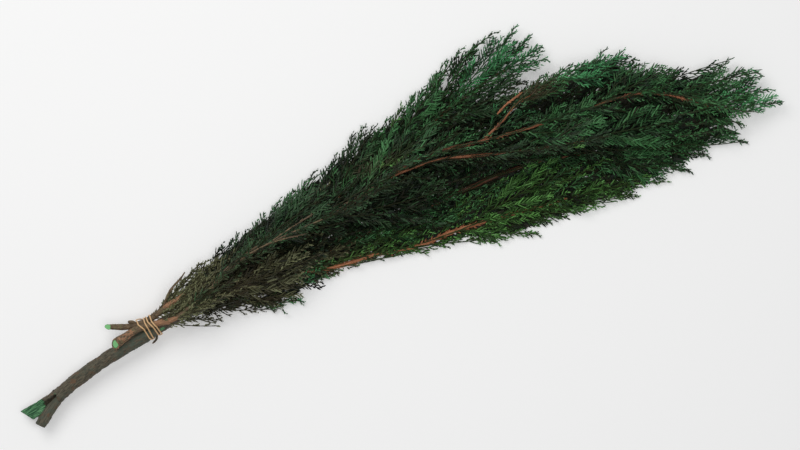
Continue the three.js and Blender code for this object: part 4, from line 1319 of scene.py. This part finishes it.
class ThujaSprays(bpy.types.Operator):
    """Makes the sprays of scale leaves, one piece for each frond"""
    bl_idname = "thuja.sprays"
    bl_label = "Sprays"

    def execute(self, context):
        leaf = context.scene.thuja_leaf
        materials = {key: leaf_material(f"leaf_{key}", getattr(leaf, key), leaf.brown)
                     for key in ("deep", "green", "bright", "yellow", "olive")}

        def add(shape, name, key, node=None):
            placed(shape, name, materials[key], node, smooth=False)

        for branch, rows in FRONDS.items():
            for k, row in enumerate(rows, 1):
                shape = make_frond(branch, row, BRANCH_LAYER[branch] * 100 + k, leaf)
                add(shape, f"{branch}_spray_{k:02d}", row[-1], f"{branch}_frond_{k:02d}")
        add(make_wisps(leaf), "olive_wisps", "olive")
        # The sprays inside the pile are painted dark as its shade.
        add(make_underside(leaf), "under_sprays", "deep")
        # The sheet at the bottom of the pile is painted shade.
        add(make_shade_mat(leaf), "under_mat", "deep")
        for k, (name, row) in enumerate(SHORT_SPRAYS.items()):
            add(make_short_sprays(name, 700 + k, leaf), f"{name}_sprays", row[-1])
        for branch, rows in TIP_SPRAYS.items():
            for k, row in enumerate(rows, 1):
                shape = make_tip_spray(branch, row, 800 + BRANCH_LAYER[branch] * 20 + k, leaf)
                add(shape, f"{branch}_tip_spray_{k:02d}", row[1])
        return {"FINISHED"}


class ThujaBand(bpy.types.Operator):
    """Makes the rubber band that holds the stems together"""
    bl_idname = "thuja.band"
    bl_label = "Rubber band"

    def execute(self, context):
        band = context.scene.thuja_band
        placed(band_shape(band.radius / MM), "band_strand", rubber_material("band", band.colour),
               "rubber_band")
        return {"FINISHED"}


# Soft lights: name, place to the right and up in the view, height, power property
LIGHTS = (("key_light", -0.8, 1.0, 1.8, "key_power"), ("top_light", 0.3, -0.2, 2.4, "top_power"))
LIGHT_SIZE = 1.6
SKY_COLOUR = (0.95, 0.97, 1.0, 1.0)
VIEW_CENTRE = (0.01205, -0.03505)  # the place on the floor that the middle of the view shows
VIEW_LEVEL = 0.015  # height at which the view width is measured
SENSOR_WIDTH, CLIP_END = 36.0, 50.0


class ThujaStage(bpy.types.Operator):
    """Makes the floor, the soft light and the camera"""
    bl_idname = "thuja.stage"
    bl_label = "Stage"

    def execute(self, context):
        scene = context.scene
        stage = scene.thuja_stage
        half = stage.floor_size / 2
        mesh = bpy.data.meshes.new("pale_floor")
        mesh.from_pydata([(-half, -half, 0), (half, -half, 0), (half, half, 0), (-half, half, 0)],
                         [], [(0, 1, 2, 3)])
        # The floor glows: painted light that lifts the shadows on it.
        mesh.materials.append(floor_material(stage.floor, stage.glow))
        floor = bpy.data.objects.new("pale_floor", mesh)
        scene.collection.objects.link(floor)

        turn = stage.camera_turn
        right = np.array([math.cos(turn), math.sin(turn)])
        up = np.array([-math.sin(turn), math.cos(turn)])
        for name, to_right, to_up, height, power in LIGHTS:
            data = bpy.data.lights.new(name, "AREA")
            data.shape = "DISK"
            data.size = LIGHT_SIZE
            data.energy = getattr(stage, power)
            lamp = bpy.data.objects.new(name, data)
            lamp.location = (*(right * to_right + up * to_up), height)
            lamp.rotation_euler = (-lamp.location).to_track_quat("-Z", "Y").to_euler()
            scene.collection.objects.link(lamp)
        world = bpy.data.worlds.new("studio")
        world.use_nodes = True
        background = world.node_tree.nodes["Background"]
        background.inputs["Color"].default_value = SKY_COLOUR
        background.inputs["Strength"].default_value = stage.sky
        scene.world = world
        scene.view_settings.view_transform = "Standard"

        data = bpy.data.cameras.new("plan_view")
        data.sensor_width = SENSOR_WIDTH
        data.lens = SENSOR_WIDTH * stage.camera_height / stage.view_width
        data.clip_end = CLIP_END
        camera = bpy.data.objects.new("plan_view", data)
        camera.location = (*VIEW_CENTRE, stage.camera_height + VIEW_LEVEL)
        camera.rotation_euler = (0, 0, turn)
        scene.collection.objects.link(camera)
        scene.camera = camera
        return {"FINISHED"}


class ThujaPanel(bpy.types.Panel):
    """Lists the steps that dress the bundle"""
    bl_idname = "VIEW3D_PT_thuja"
    bl_label = "Thuja bundle"
    bl_space_type = "VIEW_3D"
    bl_region_type = "UI"
    bl_category = "Thuja"

    def draw(self, context):
        for operator in OPERATORS:
            self.layout.operator(operator.bl_idname)
        for name in SETTINGS:
            group = getattr(context.scene, name)
            box = self.layout.box()
            for key in group.bl_rna.properties.keys():
                if key not in ("rna_type", "name"):
                    box.prop(group, key)


OPERATORS = (ThujaStage, ThujaCutStems, ThujaLeaders, ThujaBand, ThujaSprays)
SETTINGS = {
    "thuja_leaf": ThujaLeafSettings,
    "thuja_bark": ThujaBarkSettings,
    "thuja_band": ThujaBandSettings,
    "thuja_stage": ThujaStageSettings,
}


def register():
    for group in SETTINGS.values():
        bpy.utils.register_class(group)
    for name, group in SETTINGS.items():
        setattr(bpy.types.Scene, name, PointerProperty(type=group))
    for operator in OPERATORS:
        bpy.utils.register_class(operator)
    bpy.utils.register_class(ThujaPanel)


def unregister():
    bpy.utils.unregister_class(ThujaPanel)
    for operator in reversed(OPERATORS):
        bpy.utils.unregister_class(operator)
    for name in SETTINGS:
        delattr(bpy.types.Scene, name)
    for group in reversed(list(SETTINGS.values())):
        bpy.utils.unregister_class(group)


def main():
    register()
    for operator in OPERATORS:
        group, name = operator.bl_idname.split(".")
        getattr(getattr(bpy.ops, group), name)()
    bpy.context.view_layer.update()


if __name__ == "__main__":
    main()
